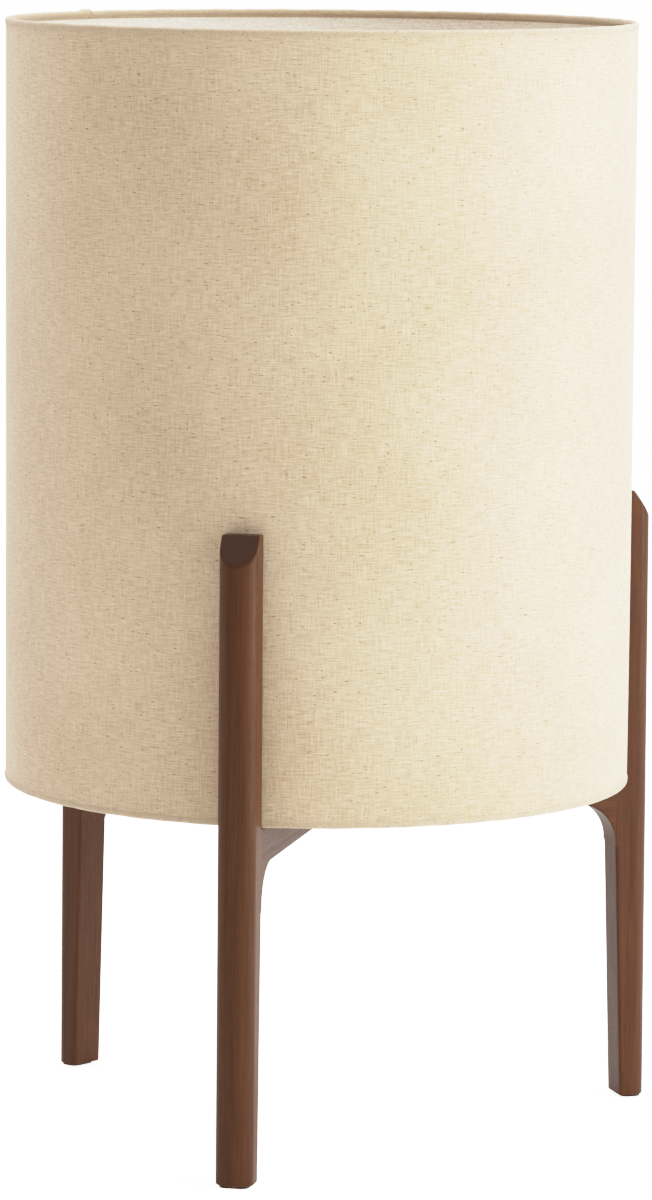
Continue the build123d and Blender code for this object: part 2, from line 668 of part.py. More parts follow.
FABRIC_OUTSIDE = SHADE_RADIUS - HEM_TAPE
LINER_OUTSIDE = FABRIC_OUTSIDE - FABRIC
LINER_INSIDE = LINER_OUTSIDE - LINER
RING_CENTRE = LINER_INSIDE - RING_ROOM - RING_WIRE_RADIUS
HEM_INNER = RING_CENTRE - RING_WIRE_RADIUS - RING_ROOM - HEM_TAPE
HEM_MIDDLE = (SHADE_RADIUS + HEM_INNER) / 2
HEM_ROUND = (SHADE_RADIUS - HEM_INNER) / 2
LOWER_RING = FLOOR_TO_SHADE + HEM_ROUND
UPPER_RING = SHADE_TOP - HEM_ROUND


def shade_ring(height):
    """A wire ring of the shade's frame."""
    return Pos(0, 0, height) * Torus(RING_CENTRE, RING_WIRE_RADIUS)


def hem_tape(edge, inward):
    """The cloth tape round one edge of the shade, folded over the wire ring and back against the liner.

    edge is the height of the shade's edge, and inward is -1 below a top edge or +1 above a bottom one."""
    level = edge + inward * HEM_ROUND
    turn = level + inward * (RING_WIRE_RADIUS + RING_ROOM)
    slant = LINER_INSIDE - HEM_INNER - HEM_TAPE
    outer_end = edge + inward * HEM_OUTSIDE
    inner_end = edge + inward * (HEM_INSIDE + HEM_ROUND)
    lines = []
    for inset in (0.0, HEM_TAPE):
        outside = SHADE_RADIUS - inset
        inside = HEM_INNER + inset
        crest = level - inward * (HEM_ROUND - inset)
        landing = LINER_INSIDE - HEM_TAPE + inset
        corner = turn + inward * (HEM_TAPE - inset) * (sqrt(2) - 1)
        lines.append(Line((outside, 0, outer_end), (outside, 0, level)))
        lines.append(ThreePointArc((outside, 0, level), (HEM_MIDDLE, 0, crest), (inside, 0, level)))
        lines.append(Polyline((inside, 0, level), (inside, 0, corner), (landing, 0, corner + inward * slant),
                              (landing, 0, inner_end)))
    lines.append(Line((SHADE_RADIUS, 0, outer_end), (FABRIC_OUTSIDE, 0, outer_end)))
    lines.append(Line((LINER_INSIDE - HEM_TAPE, 0, inner_end), (LINER_INSIDE, 0, inner_end)))
    return revolve(make_face(lines), Axis.Z)


def node(name, shape):
    """Writes one node, moved so that the lamp's axis stands behind the footprint's middle."""
    placed = Pos(0, AXIS_Y, 0) * shape
    placed.label = name
    export_step(placed, f"parts/{name}.step")


os.makedirs("parts", exist_ok=True)

for side, direction in LEG_DIRECTIONS.items():
    node(f"post_{side}", around(post(), direction))
    node(f"arm_{side}", around(arm(), direction))
    node(f"foot_pad_{side}", around(foot_pad(), direction))

node("knee_dowels", dowels_all_round(POST_INSIDE))
node("hub_dowels", dowels_all_round(HUB_FLAT))

node("hub_block", hub_block())
node("hub_plate", hub_plate())
node("plate_screws", all_plate_screws())
node("under_cover", under_cover())
node("cover_screws", all_round(cover_screw(), hub_screw_directions()))
node("cord_bushing", cord_bushing())

node("threaded_rod", tube(ROD_RADIUS, ROD_BORE_RADIUS, ROD_BASE, ROD_TOP))
node("lower_washer", tube(WASHER_RADIUS, ROD_RADIUS + ROD_CLEARANCE, LOWER_NUT_TOP, COUNTERBORE_TOP))
node("lower_nut", hex_nut(LOWER_NUT_TOP - NUT_HEIGHT))
node("seat_cup", seat_cup())
node("riser_tube", tube(RISER_RADIUS, RISER_RADIUS - RISER_WALL, RISER_BASE, RISER_TOP))
node("lock_washer", tube(LOCK_WASHER_RADIUS, ROD_RADIUS + ROD_CLEARANCE, RISER_TOP, LOCK_NUT_BASE))
node("lock_nut", hex_nut(LOCK_NUT_BASE))

node("holder_cap", holder_cap())
node("set_screw", set_screw())
node("holder_shell", holder_shell())
node("insulating_sleeve", insulating_sleeve())
node("switch_body", switch_body())
node("terminal_screws", all_round(terminal_screw(), (90, -90)))
node("screw_shell", screw_shell())
node("centre_contact", centre_contact())

node("knob_shaft", knob_shaft())
node("turn_knob", turn_knob())

node("bulb_cap", bulb_cap())
node("bulb_insulator", bulb_insulator())
node("bulb_contact", bulb_contact())
node("bulb_glass", bulb_glass())
node("bulb_stem", bulb_stem())
node("bulb_filaments", all_round(filament(), filament_directions()))
node("bulb_supports", bulb_supports())

node("shade_fabric", tube(FABRIC_OUTSIDE, LINER_OUTSIDE, LOWER_RING, UPPER_RING))
node("shade_liner", tube(LINER_OUTSIDE, LINER_INSIDE, LOWER_RING, UPPER_RING))
node("top_ring", shade_ring(UPPER_RING))
node("bottom_ring", shade_ring(LOWER_RING))
node("top_hem", hem_tape(SHADE_TOP, -1))
node("bottom_hem", hem_tape(FLOOR_TO_SHADE, 1))
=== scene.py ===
from math import cos, pi, radians, sin, tan

import bmesh
import bpy
import numpy as np
from mathutils import Matrix, Vector


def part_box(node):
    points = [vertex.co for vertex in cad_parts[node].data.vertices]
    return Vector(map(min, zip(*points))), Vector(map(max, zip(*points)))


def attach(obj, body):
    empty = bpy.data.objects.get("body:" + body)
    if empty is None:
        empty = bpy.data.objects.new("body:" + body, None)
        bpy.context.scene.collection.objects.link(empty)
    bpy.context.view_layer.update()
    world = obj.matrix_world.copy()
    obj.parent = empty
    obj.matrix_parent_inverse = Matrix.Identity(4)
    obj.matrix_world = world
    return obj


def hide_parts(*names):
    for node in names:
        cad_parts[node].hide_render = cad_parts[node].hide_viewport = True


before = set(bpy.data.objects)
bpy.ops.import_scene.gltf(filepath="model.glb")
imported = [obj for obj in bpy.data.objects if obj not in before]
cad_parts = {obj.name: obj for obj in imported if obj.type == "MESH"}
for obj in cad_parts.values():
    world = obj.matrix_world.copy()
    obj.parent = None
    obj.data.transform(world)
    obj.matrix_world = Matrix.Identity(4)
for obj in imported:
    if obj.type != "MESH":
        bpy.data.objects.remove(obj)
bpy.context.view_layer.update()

# ---- Studio --------------------------------------------------------------------------------------
# A pale floor under a white sweep, bright behind the lamp and softer in front of it. One broad soft
# light stands at the right and one hangs overhead, and a long lens looks a little down on the shade.

riser_low, riser_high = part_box("riser_tube")
AXIS = Vector(((riser_low.x + riser_high.x) / 2, (riser_low.y + riser_high.y) / 2, 0.0))
CAMERA_AZIMUTH = radians(12.7)
CAMERA_DISTANCE = 4.201
CAMERA_HEIGHT = 0.932
CAMERA_PITCH = radians(8.26)
CAMERA_YAW = radians(0.19)
CAMERA_ROLL = radians(0.497)

forward = Vector((sin(CAMERA_YAW) * cos(CAMERA_PITCH), cos(CAMERA_YAW) * cos(CAMERA_PITCH),
                  -sin(CAMERA_PITCH)))
level = Vector((cos(CAMERA_YAW), -sin(CAMERA_YAW), 0))
upright = level.cross(forward)
rightward = cos(CAMERA_ROLL) * level + sin(CAMERA_ROLL) * upright
upward = -sin(CAMERA_ROLL) * level + cos(CAMERA_ROLL) * upright
turn = Matrix.Rotation(CAMERA_AZIMUTH, 3, "Z")
facing = (turn @ Matrix((rightward, upward, -forward)).transposed()).to_4x4()
stand_point = AXIS + turn @ Vector((0, -CAMERA_DISTANCE, 0)) + Vector((0, 0, CAMERA_HEIGHT))

camera_data = bpy.data.cameras.new("camera")
camera_data.lens = 176.5
camera_data.shift_x = -0.0085
camera_data.shift_y = 0.0628
camera_data.clip_end = 100
camera = bpy.data.objects.new("camera", camera_data)
camera.matrix_world = Matrix.Translation(stand_point) @ facing
bpy.context.scene.collection.objects.link(camera)
bpy.context.scene.camera = camera

# A print curve: straight through the shadows and middle tones, with a soft shoulder in the lights.
PRINT_WHITE = 4.0
PRINT_CURVE = [(0.3, 0.3), (0.5, 0.49), (0.766, 0.7), (1.0, 0.8), (1.3, 0.872), (1.6, 0.925), (2.0, 0.97),
               (2.5, 1.0)]
look = bpy.context.scene.view_settings
look.view_transform = "Standard"
look.use_curve_mapping = True
look.curve_mapping.white_level = (PRINT_WHITE, PRINT_WHITE, PRINT_WHITE)
tone_curve = look.curve_mapping.curves[3]
for amount, printed in PRINT_CURVE:
    tone_curve.points.new(amount / PRINT_WHITE, printed)
look.curve_mapping.update()


def put(tree, kind, sockets=(), **settings):
    """One shader node: settings go on the node, and each socket takes a number or another's output."""
    made = tree.nodes.new("ShaderNode" + kind)
    for key, value in settings.items():
        setattr(made, key, value)
    for key, value in dict(sockets).items():
        if isinstance(value, bpy.types.NodeSocket):
            tree.links.new(value, made.inputs[key])
        else:
            made.inputs[key].default_value = value
    return made


def finish_of(name):
    """A new material with its node tree and its one Principled shader."""
    material = bpy.data.materials.new(name)
    material.use_nodes = True
    return material, material.node_tree, material.node_tree.nodes["Principled BSDF"]


SWEEP_FRONT = 0.46
SWEEP_BACK = 1.42
sweep = bpy.data.worlds.new("sweep")
bpy.context.scene.world = sweep
sweep.use_nodes = True
tree = sweep.node_tree
looking = put(tree, "TexCoord").outputs["Generated"]
behind = put(tree, "VectorMath", {0: looking, 1: turn @ Vector((0, 1, 0))}, operation="DOT_PRODUCT")
brightness = put(tree, "MapRange", {"Value": behind.outputs["Value"], "From Min": -0.6, "From Max": 0.7,
                                    "To Min": SWEEP_FRONT, "To Max": SWEEP_BACK})
rays = put(tree, "LightPath").outputs["Is Camera Ray"]
backdrop = put(tree, "Mix", {"Factor": rays, "A": brightness.outputs["Result"], "B": PRINT_WHITE})
background = tree.nodes["Background"].inputs
tree.links.new(backdrop.outputs["Result"], background["Strength"])
background["Color"].default_value = (1.0, 0.955, 0.91, 1)


def soft_light(name, place, aim, width, height, power, colour):
    """A rectangular soft box standing at a place and turned to face its aim."""
    data = bpy.data.lights.new(name, "AREA")
    data.shape = "RECTANGLE"
    data.size = width
    data.size_y = height
    data.energy = power
    data.color = colour
    lamp = bpy.data.objects.new(name, data)
    lamp.location = AXIS + turn @ Vector(place)
    lamp.rotation_euler = (AXIS + Vector(aim) - lamp.location).to_track_quat("-Z", "Y").to_euler()
    bpy.context.scene.collection.objects.link(lamp)


soft_light("key_light", (2.3, -0.9, 1.05), (0, 0, 0.45), 1.6, 1.9, 82, (0.92, 1.0, 0.975))
soft_light("top_light", (0, 0.4, 2.7), (0, 0.2, 0), 3.0, 3.0, 60, (1.0, 1.0, 1.0))

FLOOR_REACH = 30.0
FLOOR_LIFT = 1.5
floor_mesh = bpy.data.meshes.new("floor")
floor_corners = [(x * FLOOR_REACH, y * FLOOR_REACH, 0) for x, y in ((-1, -1), (1, -1), (1, 1), (-1, 1))]
floor_mesh.from_pydata(floor_corners, [], [(0, 1, 2, 3)])
floor = bpy.data.objects.new("floor", floor_mesh)
floor_paint, tree, shader = finish_of("floor_paint")
shader.inputs["Base Color"].default_value = (0.93, 0.93, 0.92, 1)
shader.inputs["Roughness"].default_value = 0.9
shader.inputs["Specular IOR Level"].default_value = 0.1
shader.inputs["Emission Color"].default_value = (1.0, 1.0, 1.0, 1)
rays = put(tree, "LightPath").outputs["Is Camera Ray"]
lift = put(tree, "Math", {0: rays, 1: FLOOR_LIFT}, operation="MULTIPLY")
tree.links.new(lift.outputs[0], shader.inputs["Emission Strength"])
floor_mesh.materials.append(floor_paint)
bpy.context.scene.collection.objects.link(floor)

# ---- Posts ---------------------------------------------------------------------------------------
# Three posts of solid walnut, flat inside and rounded outside, tapered below the knee. The top is
# level behind and sawn off at a slope in front, the edges are eased, and the wood is stained.

MM = 0.001
LEGS = {"front": -90.0, "right": 30.0, "left": 150.0}
POST_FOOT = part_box("post_front")[0].z
POST_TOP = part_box("post_front")[1].z
POST_INSIDE = AXIS.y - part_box("post_front")[1].y
KNEE_BASE, ARM_TOP = (corner.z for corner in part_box("arm_front"))
POST_DEPTH = 25 * MM
POST_HALF = 13.5 * MM
POST_ROUND = 9.5 * MM
POST_CORNER = 2 * MM
SQUARE_CORNER = 0.2 * MM
FOOT_TAPER = 6 * MM
FOOT_LEAN = 2 * MM
FOOT_EASE = 1.5 * MM
TOP_EASE = 1.1 * MM
TOP_FLAT = 10.5 * MM
TOP_SLOPE = tan(radians(54.5))
SLOPE_DROP = 36 * MM


def skin(name, grid, ring=False, uv=None, marks=None, crease=38):
    """A closed mesh through rows of points: every row is a loop, each joined to the next. The two end
    loops are filled to a middle point, or with ring the last row is joined to the first. Faces are
    turned outwards by the sign of the volume, and points that fall together are merged."""
    rows, columns = grid.shape[:2]
    points = grid.reshape(-1, 3)
    index = np.arange(rows * columns).reshape(rows, columns)
    if ring:
        index = np.vstack([index, index[:1]])
    index = np.hstack([index, index[:, :1]])
    corner = np.arange(index.size).reshape(index.shape)
    faces, corners = [[np.stack([each[:-1, :-1], each[:-1, 1:], each[1:, 1:], each[1:, :-1]], axis=-1)
                       .reshape(-1, 4)] for each in (index, corner)]
    ends = [] if ring else [0, rows - 1]
    for number, row in enumerate(ends):
        middle = np.full(columns, len(points) + number)
        fan = [middle, index[row, 1:], index[row, :-1]]
        faces.append(np.stack(fan if row == 0 else fan[::-1], axis=-1))
    points = np.vstack([points] + [grid[row].mean(axis=0) for row in ends])
    triangles = [faces[0][:, :3], faces[0][:, [0, 2, 3]]] + faces[1:]
    a, b, c = (points[np.vstack(triangles)[:, k]] for k in range(3))
    if (a * np.cross(b, c)).sum() < 0:
        faces = [each[:, ::-1] for each in faces]
        corners = [each[:, ::-1] for each in corners]
    mesh = bpy.data.meshes.new(name)
    mesh.from_pydata(points.tolist(), [], [face for each in faces for face in each.tolist()])
    if uv is not None:
        layer = mesh.uv_layers.new(name="cloth")
        spread = np.vstack([uv.reshape(-1, 2)[corners[0].ravel()],
                            np.zeros((len(mesh.loops) - corners[0].size, 2))])
        layer.data.foreach_set("uv", spread.ravel())
    for title, values in (marks or {}).items():
        kind, socket = ("FLOAT_VECTOR", "vector") if values.ndim == 3 else ("FLOAT", "value")
        values = values.reshape(rows, columns, -1)
        flat = np.vstack([values.reshape(rows * columns, -1)] + [values[row].mean(axis=0) for row in ends])
        mesh.attributes.new(title, kind, "POINT").data.foreach_set(socket, flat.ravel())
    weld = bmesh.new()
    weld.from_mesh(mesh)
    bmesh.ops.remove_doubles(weld, verts=weld.verts, dist=2e-6)
    weld.to_mesh(mesh)
    weld.free()
    mesh.polygons.foreach_set("use_smooth", np.ones(len(mesh.polygons), bool))
    mesh.set_sharp_from_angle(angle=radians(crease))
    piece = bpy.data.objects.new(name, mesh)
    bpy.context.scene.collection.objects.link(piece)
    return piece


def placed(local, direction):
    """Points given as (out from the axis, sideways, up), turned to a direction in degrees and set on
    the lamp's axis."""
    angle = radians(direction)
    out, side, up = local[..., 0], local[..., 1], local[..., 2]
    return np.stack([AXIS.x + out * cos(angle) - side * sin(angle),
                     AXIS.y + out * sin(angle) + side * cos(angle), up], axis=-1)


def own(piece, body, slot_name, material, *nodes):
    """The piece rides on a body, takes its material, and stands for CAD nodes.
    Its slot name is not used.
    """
    piece.data.materials.clear()
    piece.data.materials.append(material)
    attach(piece, body)
    if nodes:
        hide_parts(*nodes)
    return piece


def speckle(tree, vector, stretch, detail=2.0, rough=0.5, shift=(0, 0, 0)):
    """Noise in coordinates stretched by so many cycles a metre on each axis."""
    scaled = put(tree, "Mapping", {"Vector": vector, "Scale": stretch, "Location": shift})
    grain = put(tree, "TexNoise", {"Vector": scaled.outputs[0], "Scale": 1.0, "Detail": detail,
                                   "Roughness": rough})
    return grain.outputs["Fac"]


def ramp(tree, amount, low, high, at_low=0.0, at_high=1.0):
    """An amount mapped from one range to another and held at its ends."""
    return put(tree, "MapRange", {"Value": amount, "From Min": low, "From Max": high,
                                  "To Min": at_low, "To Max": at_high}).outputs["Result"]


def blend(tree, amount, first, second, mode="MIX"):
    """Two colours mixed by an amount."""
    made = put(tree, "Mix", data_type="RGBA", blend_type=mode)
    for key, value in ((0, amount), (6, first), (7, second)):
        if isinstance(value, bpy.types.NodeSocket):
            tree.links.new(value, made.inputs[key])
        else:
            made.inputs[key].default_value = value if key == 0 else (*value, 1)
    return made.outputs[2]


def sums(tree, operation, first, second):
    """One sum of two amounts."""
    return put(tree, "Math", {0: first, 1: second}, operation=operation).outputs[0]


def coat(tree, shader, colour, roughness, relief=None, strength=0.0, depth=0.0):
    """Colour and roughness go on the shader, and a relief, with its depth in metres, tilts its normal."""
    tree.links.new(colour, shader.inputs["Base Color"])
    if isinstance(roughness, bpy.types.NodeSocket):
        tree.links.new(roughness, shader.inputs["Roughness"])
    else:
        shader.inputs["Roughness"].default_value = roughness
    if relief is not None:
        bump = put(tree, "Bump", {"Height": relief, "Strength": strength, "Distance": depth})
        tree.links.new(bump.outputs["Normal"], shader.inputs["Normal"])


def walnut_finish(name, dark, middle, light, roughness):
    """Stained walnut along the piece's own grain: broad bands that wander, fine streaks, short open
    pores that are dark and sunk, darker end grain where the sawn mark is high, and a paler edge where
    its wear and highlight mark is high: rubbed wear at the feet, and a painted highlight along one side
    of the eased edge round the sloped top."""
    material, tree, shader = finish_of(name)
    grain = put(tree, "Attribute", attribute_name="grain").outputs["Vector"]
    wander = speckle(tree, grain, (7, 30, 30), 2, 0.5)
    swing = put(tree, "VectorMath", {0: (0, 0.006, 0.004), "Scale": wander}, operation="SCALE").outputs[0]
    grain = put(tree, "VectorMath", {0: grain, 1: swing}, operation="ADD").outputs[0]
    bands = speckle(tree, grain, (5, 170, 170), 3, 0.55)
    streaks = speckle(tree, grain, (16, 900, 900), 3, 0.6)
    pores = speckle(tree, grain, (140, 3400, 3400), 1, 0.5)
    cloud = speckle(tree, grain, (9, 22, 22), 2, 0.5)
    colour = blend(tree, ramp(tree, bands, 0.3, 0.72), dark, middle)
    colour = blend(tree, ramp(tree, streaks, 0.4, 0.8, 0, 0.6), colour, light)
    colour = blend(tree, ramp(tree, cloud, 0.35, 0.75, 0.0, 0.35), colour, dark)
    open_pore = ramp(tree, pores, 0.6, 0.7)
    colour = blend(tree, sums(tree, "MULTIPLY", open_pore, 0.45), colour, tuple(0.4 * x for x in dark))
    sawn = put(tree, "Attribute", attribute_name="sawn").outputs["Fac"]
    colour = blend(tree, sums(tree, "MULTIPLY", sawn, 0.7), colour, tuple(0.55 * x for x in dark))
    # Paler by the wear and highlight mark: rubbed wear at the feet, and a painted highlight on the top's edge.
    wear_and_highlight = put(tree, "Attribute", attribute_name="wear_and_highlight").outputs["Fac"]
    patchy = ramp(tree, speckle(tree, grain, (120, 260, 260)), 0.38, 0.6, 0.25, 0.8)
    rubbed_and_highlit = sums(tree, "MULTIPLY", wear_and_highlight, patchy)
    colour = blend(tree, rubbed_and_highlit, colour, tuple(min(1, 2.3 * x) for x in light))
    gloss = ramp(tree, streaks, 0.3, 0.7, roughness + 0.06, roughness - 0.06)
    relief = sums(tree, "SUBTRACT", sums(tree, "MULTIPLY", streaks, 0.35), open_pore)
    coat(tree, shader, colour, gloss, relief, 0.35, 0.0002)
    shader.inputs["Specular IOR Level"].default_value = 0.17
    return material


walnut = walnut_finish("walnut", dark=(0.058, 0.0185, 0.0068), middle=(0.091, 0.0305, 0.0115),
                       light=(0.140, 0.050, 0.0200), roughness=0.40)


def smooth(share):
    """A smooth step, 3 x squared less 2 x cubed, from 0 at 0 to 1 at 1."""
    return share * share * (3 - 2 * share)


def post_loop(inside, outside, half, cap, corner):
    """Once round a post's section at each height: half an ellipse for the outer face, then a straight
    side, a round corner, the flat inner face, a corner and the other side."""
    across = np.linspace(0, 1, 9)[1:-1]
    bow = np.linspace(-pi / 2, pi / 2, 29)
    bend = np.linspace(0, pi / 2, 6)
    shoulder = outside - cap
    near, flat = inside + corner, half - corner
    out = [shoulder + cap * np.cos(bow), shoulder + (near - shoulder) * across, near - corner * np.sin(bend),
           inside + 0 * across, near - corner * np.cos(bend), near + (shoulder - near) * across]
    side = [half * np.sin(bow), half + 0 * across, flat + corner * np.cos(bend),
            flat - 2 * flat * across, -flat - corner * np.sin(bend), -half + 0 * across]
    return np.hstack(out), np.hstack(side)


def post_surface():
    """The post standing out along +X: rows of its section up the height, each pulled in at the foot
    and at the crown by a quarter round, with the last rows drawn together over the level top and the
    slope. The inner corners are round, and square where the arm is joined."""
    arc = np.linspace(0, pi / 2, 6)[:, None]
    foot = POST_FOOT + FOOT_EASE * (1 - np.sin(arc[::-1]))
    shaft = np.concatenate([np.linspace(POST_FOOT + FOOT_EASE, POST_TOP - SLOPE_DROP, 49),
                            KNEE_BASE + MM * np.linspace(-3, 0, 7), ARM_TOP + MM * np.linspace(-1, 0, 3)])
    shaft = np.unique(shaft)[1:, None]
    heights = np.vstack([foot, shaft])
    pull = np.vstack([FOOT_EASE * (1 - np.cos(arc[::-1])), 0 * shaft])
    taper = np.clip((KNEE_BASE - heights) / (KNEE_BASE - POST_FOOT), 0, 1)
    inside = POST_INSIDE + FOOT_TAPER * taper
    outside = POST_INSIDE + POST_DEPTH + FOOT_LEAN * (1 - heights / POST_TOP)
    joined = np.clip((heights - KNEE_BASE) / (3 * MM) + 1, 0, 1) * np.clip((ARM_TOP - heights) / MM, 0, 1)
    corner = POST_CORNER + (SQUARE_CORNER - POST_CORNER) * smooth(joined)
    out, side = post_loop(inside + pull, outside - pull, POST_HALF - pull, POST_ROUND - pull,
                          np.maximum(corner - pull, SQUARE_CORNER))
    up = heights + 0 * out
    rows_out, rows_side, rows_up = [out], [side], [up]
    ease = TOP_EASE * (1 - np.cos(arc))
    low_wear = np.sin(2 * arc[::-1]) ** 2 * (0.2 + 0.8 * np.exp(-(side[:6] / (4 * MM)) ** 2)
                                             * (out[:6] > POST_INSIDE + POST_DEPTH / 2))
    shaft_wear = np.zeros((len(shaft), out.shape[1]))
    out, side = post_loop(inside[-1:] + ease, outside[-1:] - ease, POST_HALF - ease, POST_ROUND - ease,
                          np.maximum(POST_CORNER - ease, 0.3 * MM))
    slope = (POST_TOP - np.maximum(out - POST_INSIDE - TOP_FLAT, 0) * TOP_SLOPE
             - TOP_EASE * (1 - np.sin(arc)))
    rise = np.array([0.25, 0.5, 0.75, 0.92])[:, None]
    rows_out.append(out[:1] + 0 * rise)
    rows_side.append(side[:1] + 0 * rise)
    rows_up.append(up[-1:] + (slope[:1] - up[-1:]) * rise)
    shrink = np.array([0.93, 0.8, 0.55, 0.25, 0.02])[:, None]
    middle = POST_INSIDE + TOP_FLAT
    cap_out = middle + (out[-1:] - middle) * shrink
    rows_out += [out, cap_out]
    rows_side += [side, side[-1:] * shrink]
    rows_up += [slope, POST_TOP - np.maximum(cap_out - middle, 0) * TOP_SLOPE]
    # Painted highlight: the eased edge round the sloped top is paler towards one side of each post, where light
    # catches it. The foot's mark above is rubbed wear.
    lit_side = np.clip(side / POST_HALF, 0, 1) ** 2
    worn_and_highlit = np.vstack([low_wear, shaft_wear, 0 * rise + 0 * out[:1], 0.4 * np.sin(2 * arc) ** 2 * lit_side,
                      0 * cap_out])
    sawn = np.vstack([0 * low_wear, shaft_wear, 0 * rise + 0 * out[:1], np.sin(arc) ** 2 + 0 * out,
                      1 + 0 * cap_out])
    local = np.stack([np.vstack(rows_out), np.vstack(rows_side), np.vstack(rows_up)], axis=-1)
    return local, worn_and_highlit, sawn


post_local, post_wear_and_highlight, post_sawn = post_surface()
for number, (side_name, direction) in enumerate(LEGS.items()):
    along = np.stack([post_local[..., 2], post_local[..., 1], post_local[..., 0]], axis=-1)
    along = along + np.array([0.83, 0.31, 0.57]) * (number + 1)
    post = skin(f"walnut_post_{side_name}", placed(post_local, direction),
                marks={"grain": along, "wear_and_highlight": post_wear_and_highlight, "sawn": post_sawn})
    own(post, "stand", "walnut", walnut, f"post_{side_name}")

# ---- Arms ----------------------------------------------------------------------------------------
# Three level walnut arms run from the hub to the posts under the shade. Each sweeps down into its
# post at the knee, a quarter circle on its underside, and is dowelled and glued at both ends.

ARM_HEIGHT = 26.5 * MM
KNEE_RADIUS = 30 * MM
KNEE_TIP = 0.4 * MM
HUB_FLAT = 45 * MM
ARM_UNDER = ARM_TOP - ARM_HEIGHT
ARM_EASE = 1.3 * MM
ARM_TOP_EASE = 0.6 * MM
FAN_TURN = radians(35)


def arm_surface():
    """The arm along +X as upright sections: level ones first, then a fan of them whose lower ends
    follow the knee's quarter circle while their upper ends go along the top and down the post."""
    knee_start = POST_INSIDE - KNEE_TIP - KNEE_RADIUS
    level_out = np.linspace(HUB_FLAT, knee_start, 14)
    turns = np.concatenate([np.linspace(0, FAN_TURN, 10)[1:], np.linspace(FAN_TURN, pi / 2, 20)[1:]])
    low_out = np.concatenate([level_out, knee_start + KNEE_RADIUS * np.sin(turns)])
    low_up = np.concatenate([0 * level_out + ARM_UNDER, KNEE_BASE + KNEE_RADIUS * np.cos(turns)])
    along = np.clip(turns / FAN_TURN, 0, 1)
    down = np.clip((turns - FAN_TURN) / (pi / 2 - FAN_TURN), 0, 1)
    high_out = np.concatenate([level_out, knee_start + (POST_INSIDE - knee_start) * along])
    high_up = np.concatenate([0 * level_out + ARM_TOP, ARM_TOP - (ARM_TOP - KNEE_BASE) * down])
    length = np.hypot(high_out - low_out, high_up - low_up)[:, None]
    under = np.minimum(ARM_EASE, 0.4 * length)
    over = np.minimum(ARM_TOP_EASE, 0.4 * length)
    bend = np.linspace(0, pi / 2, 6)
    between = np.linspace(0, 1, 8)[1:-1]
    side = [POST_HALF - under + under * np.sin(bend), POST_HALF + 0 * between + 0 * under,
            POST_HALF - over + over * np.cos(bend), (POST_HALF - over) * (1 - 2 * between),
            -(POST_HALF - over) - over * np.sin(bend), -POST_HALF + 0 * between + 0 * under,
            -(POST_HALF - under) - under * np.cos(bend), (POST_HALF - under) * (2 * between - 1)]
    rise = [under * (1 - np.cos(bend)), under + (length - over - under) * between,
            length - over * (1 - np.sin(bend)), length + 0 * between,
            length - over * (1 - np.cos(bend)), length - over - (length - over - under) * between,
            under * (1 - np.sin(bend)), 0 * between + 0 * under]
    side, share = np.hstack(side), np.hstack(rise) / length
    out = low_out[:, None] + (high_out - low_out)[:, None] * share
    up = low_up[:, None] + (high_up - low_up)[:, None] * share
    return np.stack([out, side, up], axis=-1)


arm_local = arm_surface()
for number, (side_name, direction) in enumerate(LEGS.items()):
    along = arm_local + np.array([0.47, 0.19, 0.73]) * (number + 2)
    arm = skin(f"walnut_arm_{side_name}", placed(arm_local, direction),
               marks={"grain": along, "wear_and_highlight": 0 * arm_local[..., 0]}, crease=50)
    own(arm, "stand", "walnut", walnut, f"arm_{side_name}")

# ---- Felt pads -----------------------------------------------------------------------------------
# A thin pad of pressed wool felt glued under each foot, a little inside its edges.

PAD_MIDDLE = POST_INSIDE + FOOT_TAPER + 10.5 * MM
PAD_HALF_OUT = 7.5 * MM
PAD_HALF_SIDE = 10.5 * MM
PAD_CORNER = 5 * MM
PAD_EASE = 0.35 * MM

felt, tree, shader = finish_of("felt")
where = put(tree, "TexCoord").outputs["Object"]
fibre_noise = speckle(tree, where, (1500, 1500, 700), 4, 0.7)
fibres = blend(tree, ramp(tree, fibre_noise, 0.3, 0.7), (0.022, 0.017, 0.013), (0.085, 0.066, 0.052))
coat(tree, shader, fibres, 1.0, fibre_noise, 0.8, 0.0003)
shader.inputs["Sheen Weight"].default_value = 0.4


def pad_surface():
    """A round-cornered slab: four quarter-circle corners at each height, pulled in at both faces by a
    small quarter round."""
    arc = np.linspace(0, pi / 2, 5)
    pull = PAD_EASE * np.concatenate([1 - np.sin(arc), 1 - np.cos(arc)])[:, None]
    up = np.concatenate([PAD_EASE * (1 - np.cos(arc)), POST_FOOT - PAD_EASE * (1 - np.sin(arc))])[:, None]
    quarter = (np.arange(4)[:, None] * pi / 2 + np.linspace(0, pi / 2, 8)).ravel()
    out_sign, side_sign = np.repeat([1, -1, -1, 1], 8), np.repeat([1, 1, -1, -1], 8)
    out = PAD_MIDDLE + out_sign * (PAD_HALF_OUT - PAD_CORNER) + (PAD_CORNER - pull) * np.cos(quarter)
    side = side_sign * (PAD_HALF_SIDE - PAD_CORNER) + (PAD_CORNER - pull) * np.sin(quarter)
    return np.stack([out, side, up + 0 * out], axis=-1)


for side_name, direction in LEGS.items():
    own(skin(f"felt_pad_{side_name}", placed(pad_surface(), direction)), "stand", "felt", felt,
        f"foot_pad_{side_name}")

# ---- Dowels --------------------------------------------------------------------------------------
# Plain beech dowels, two to a joint, glued through each arm's ends into the hub and the post.


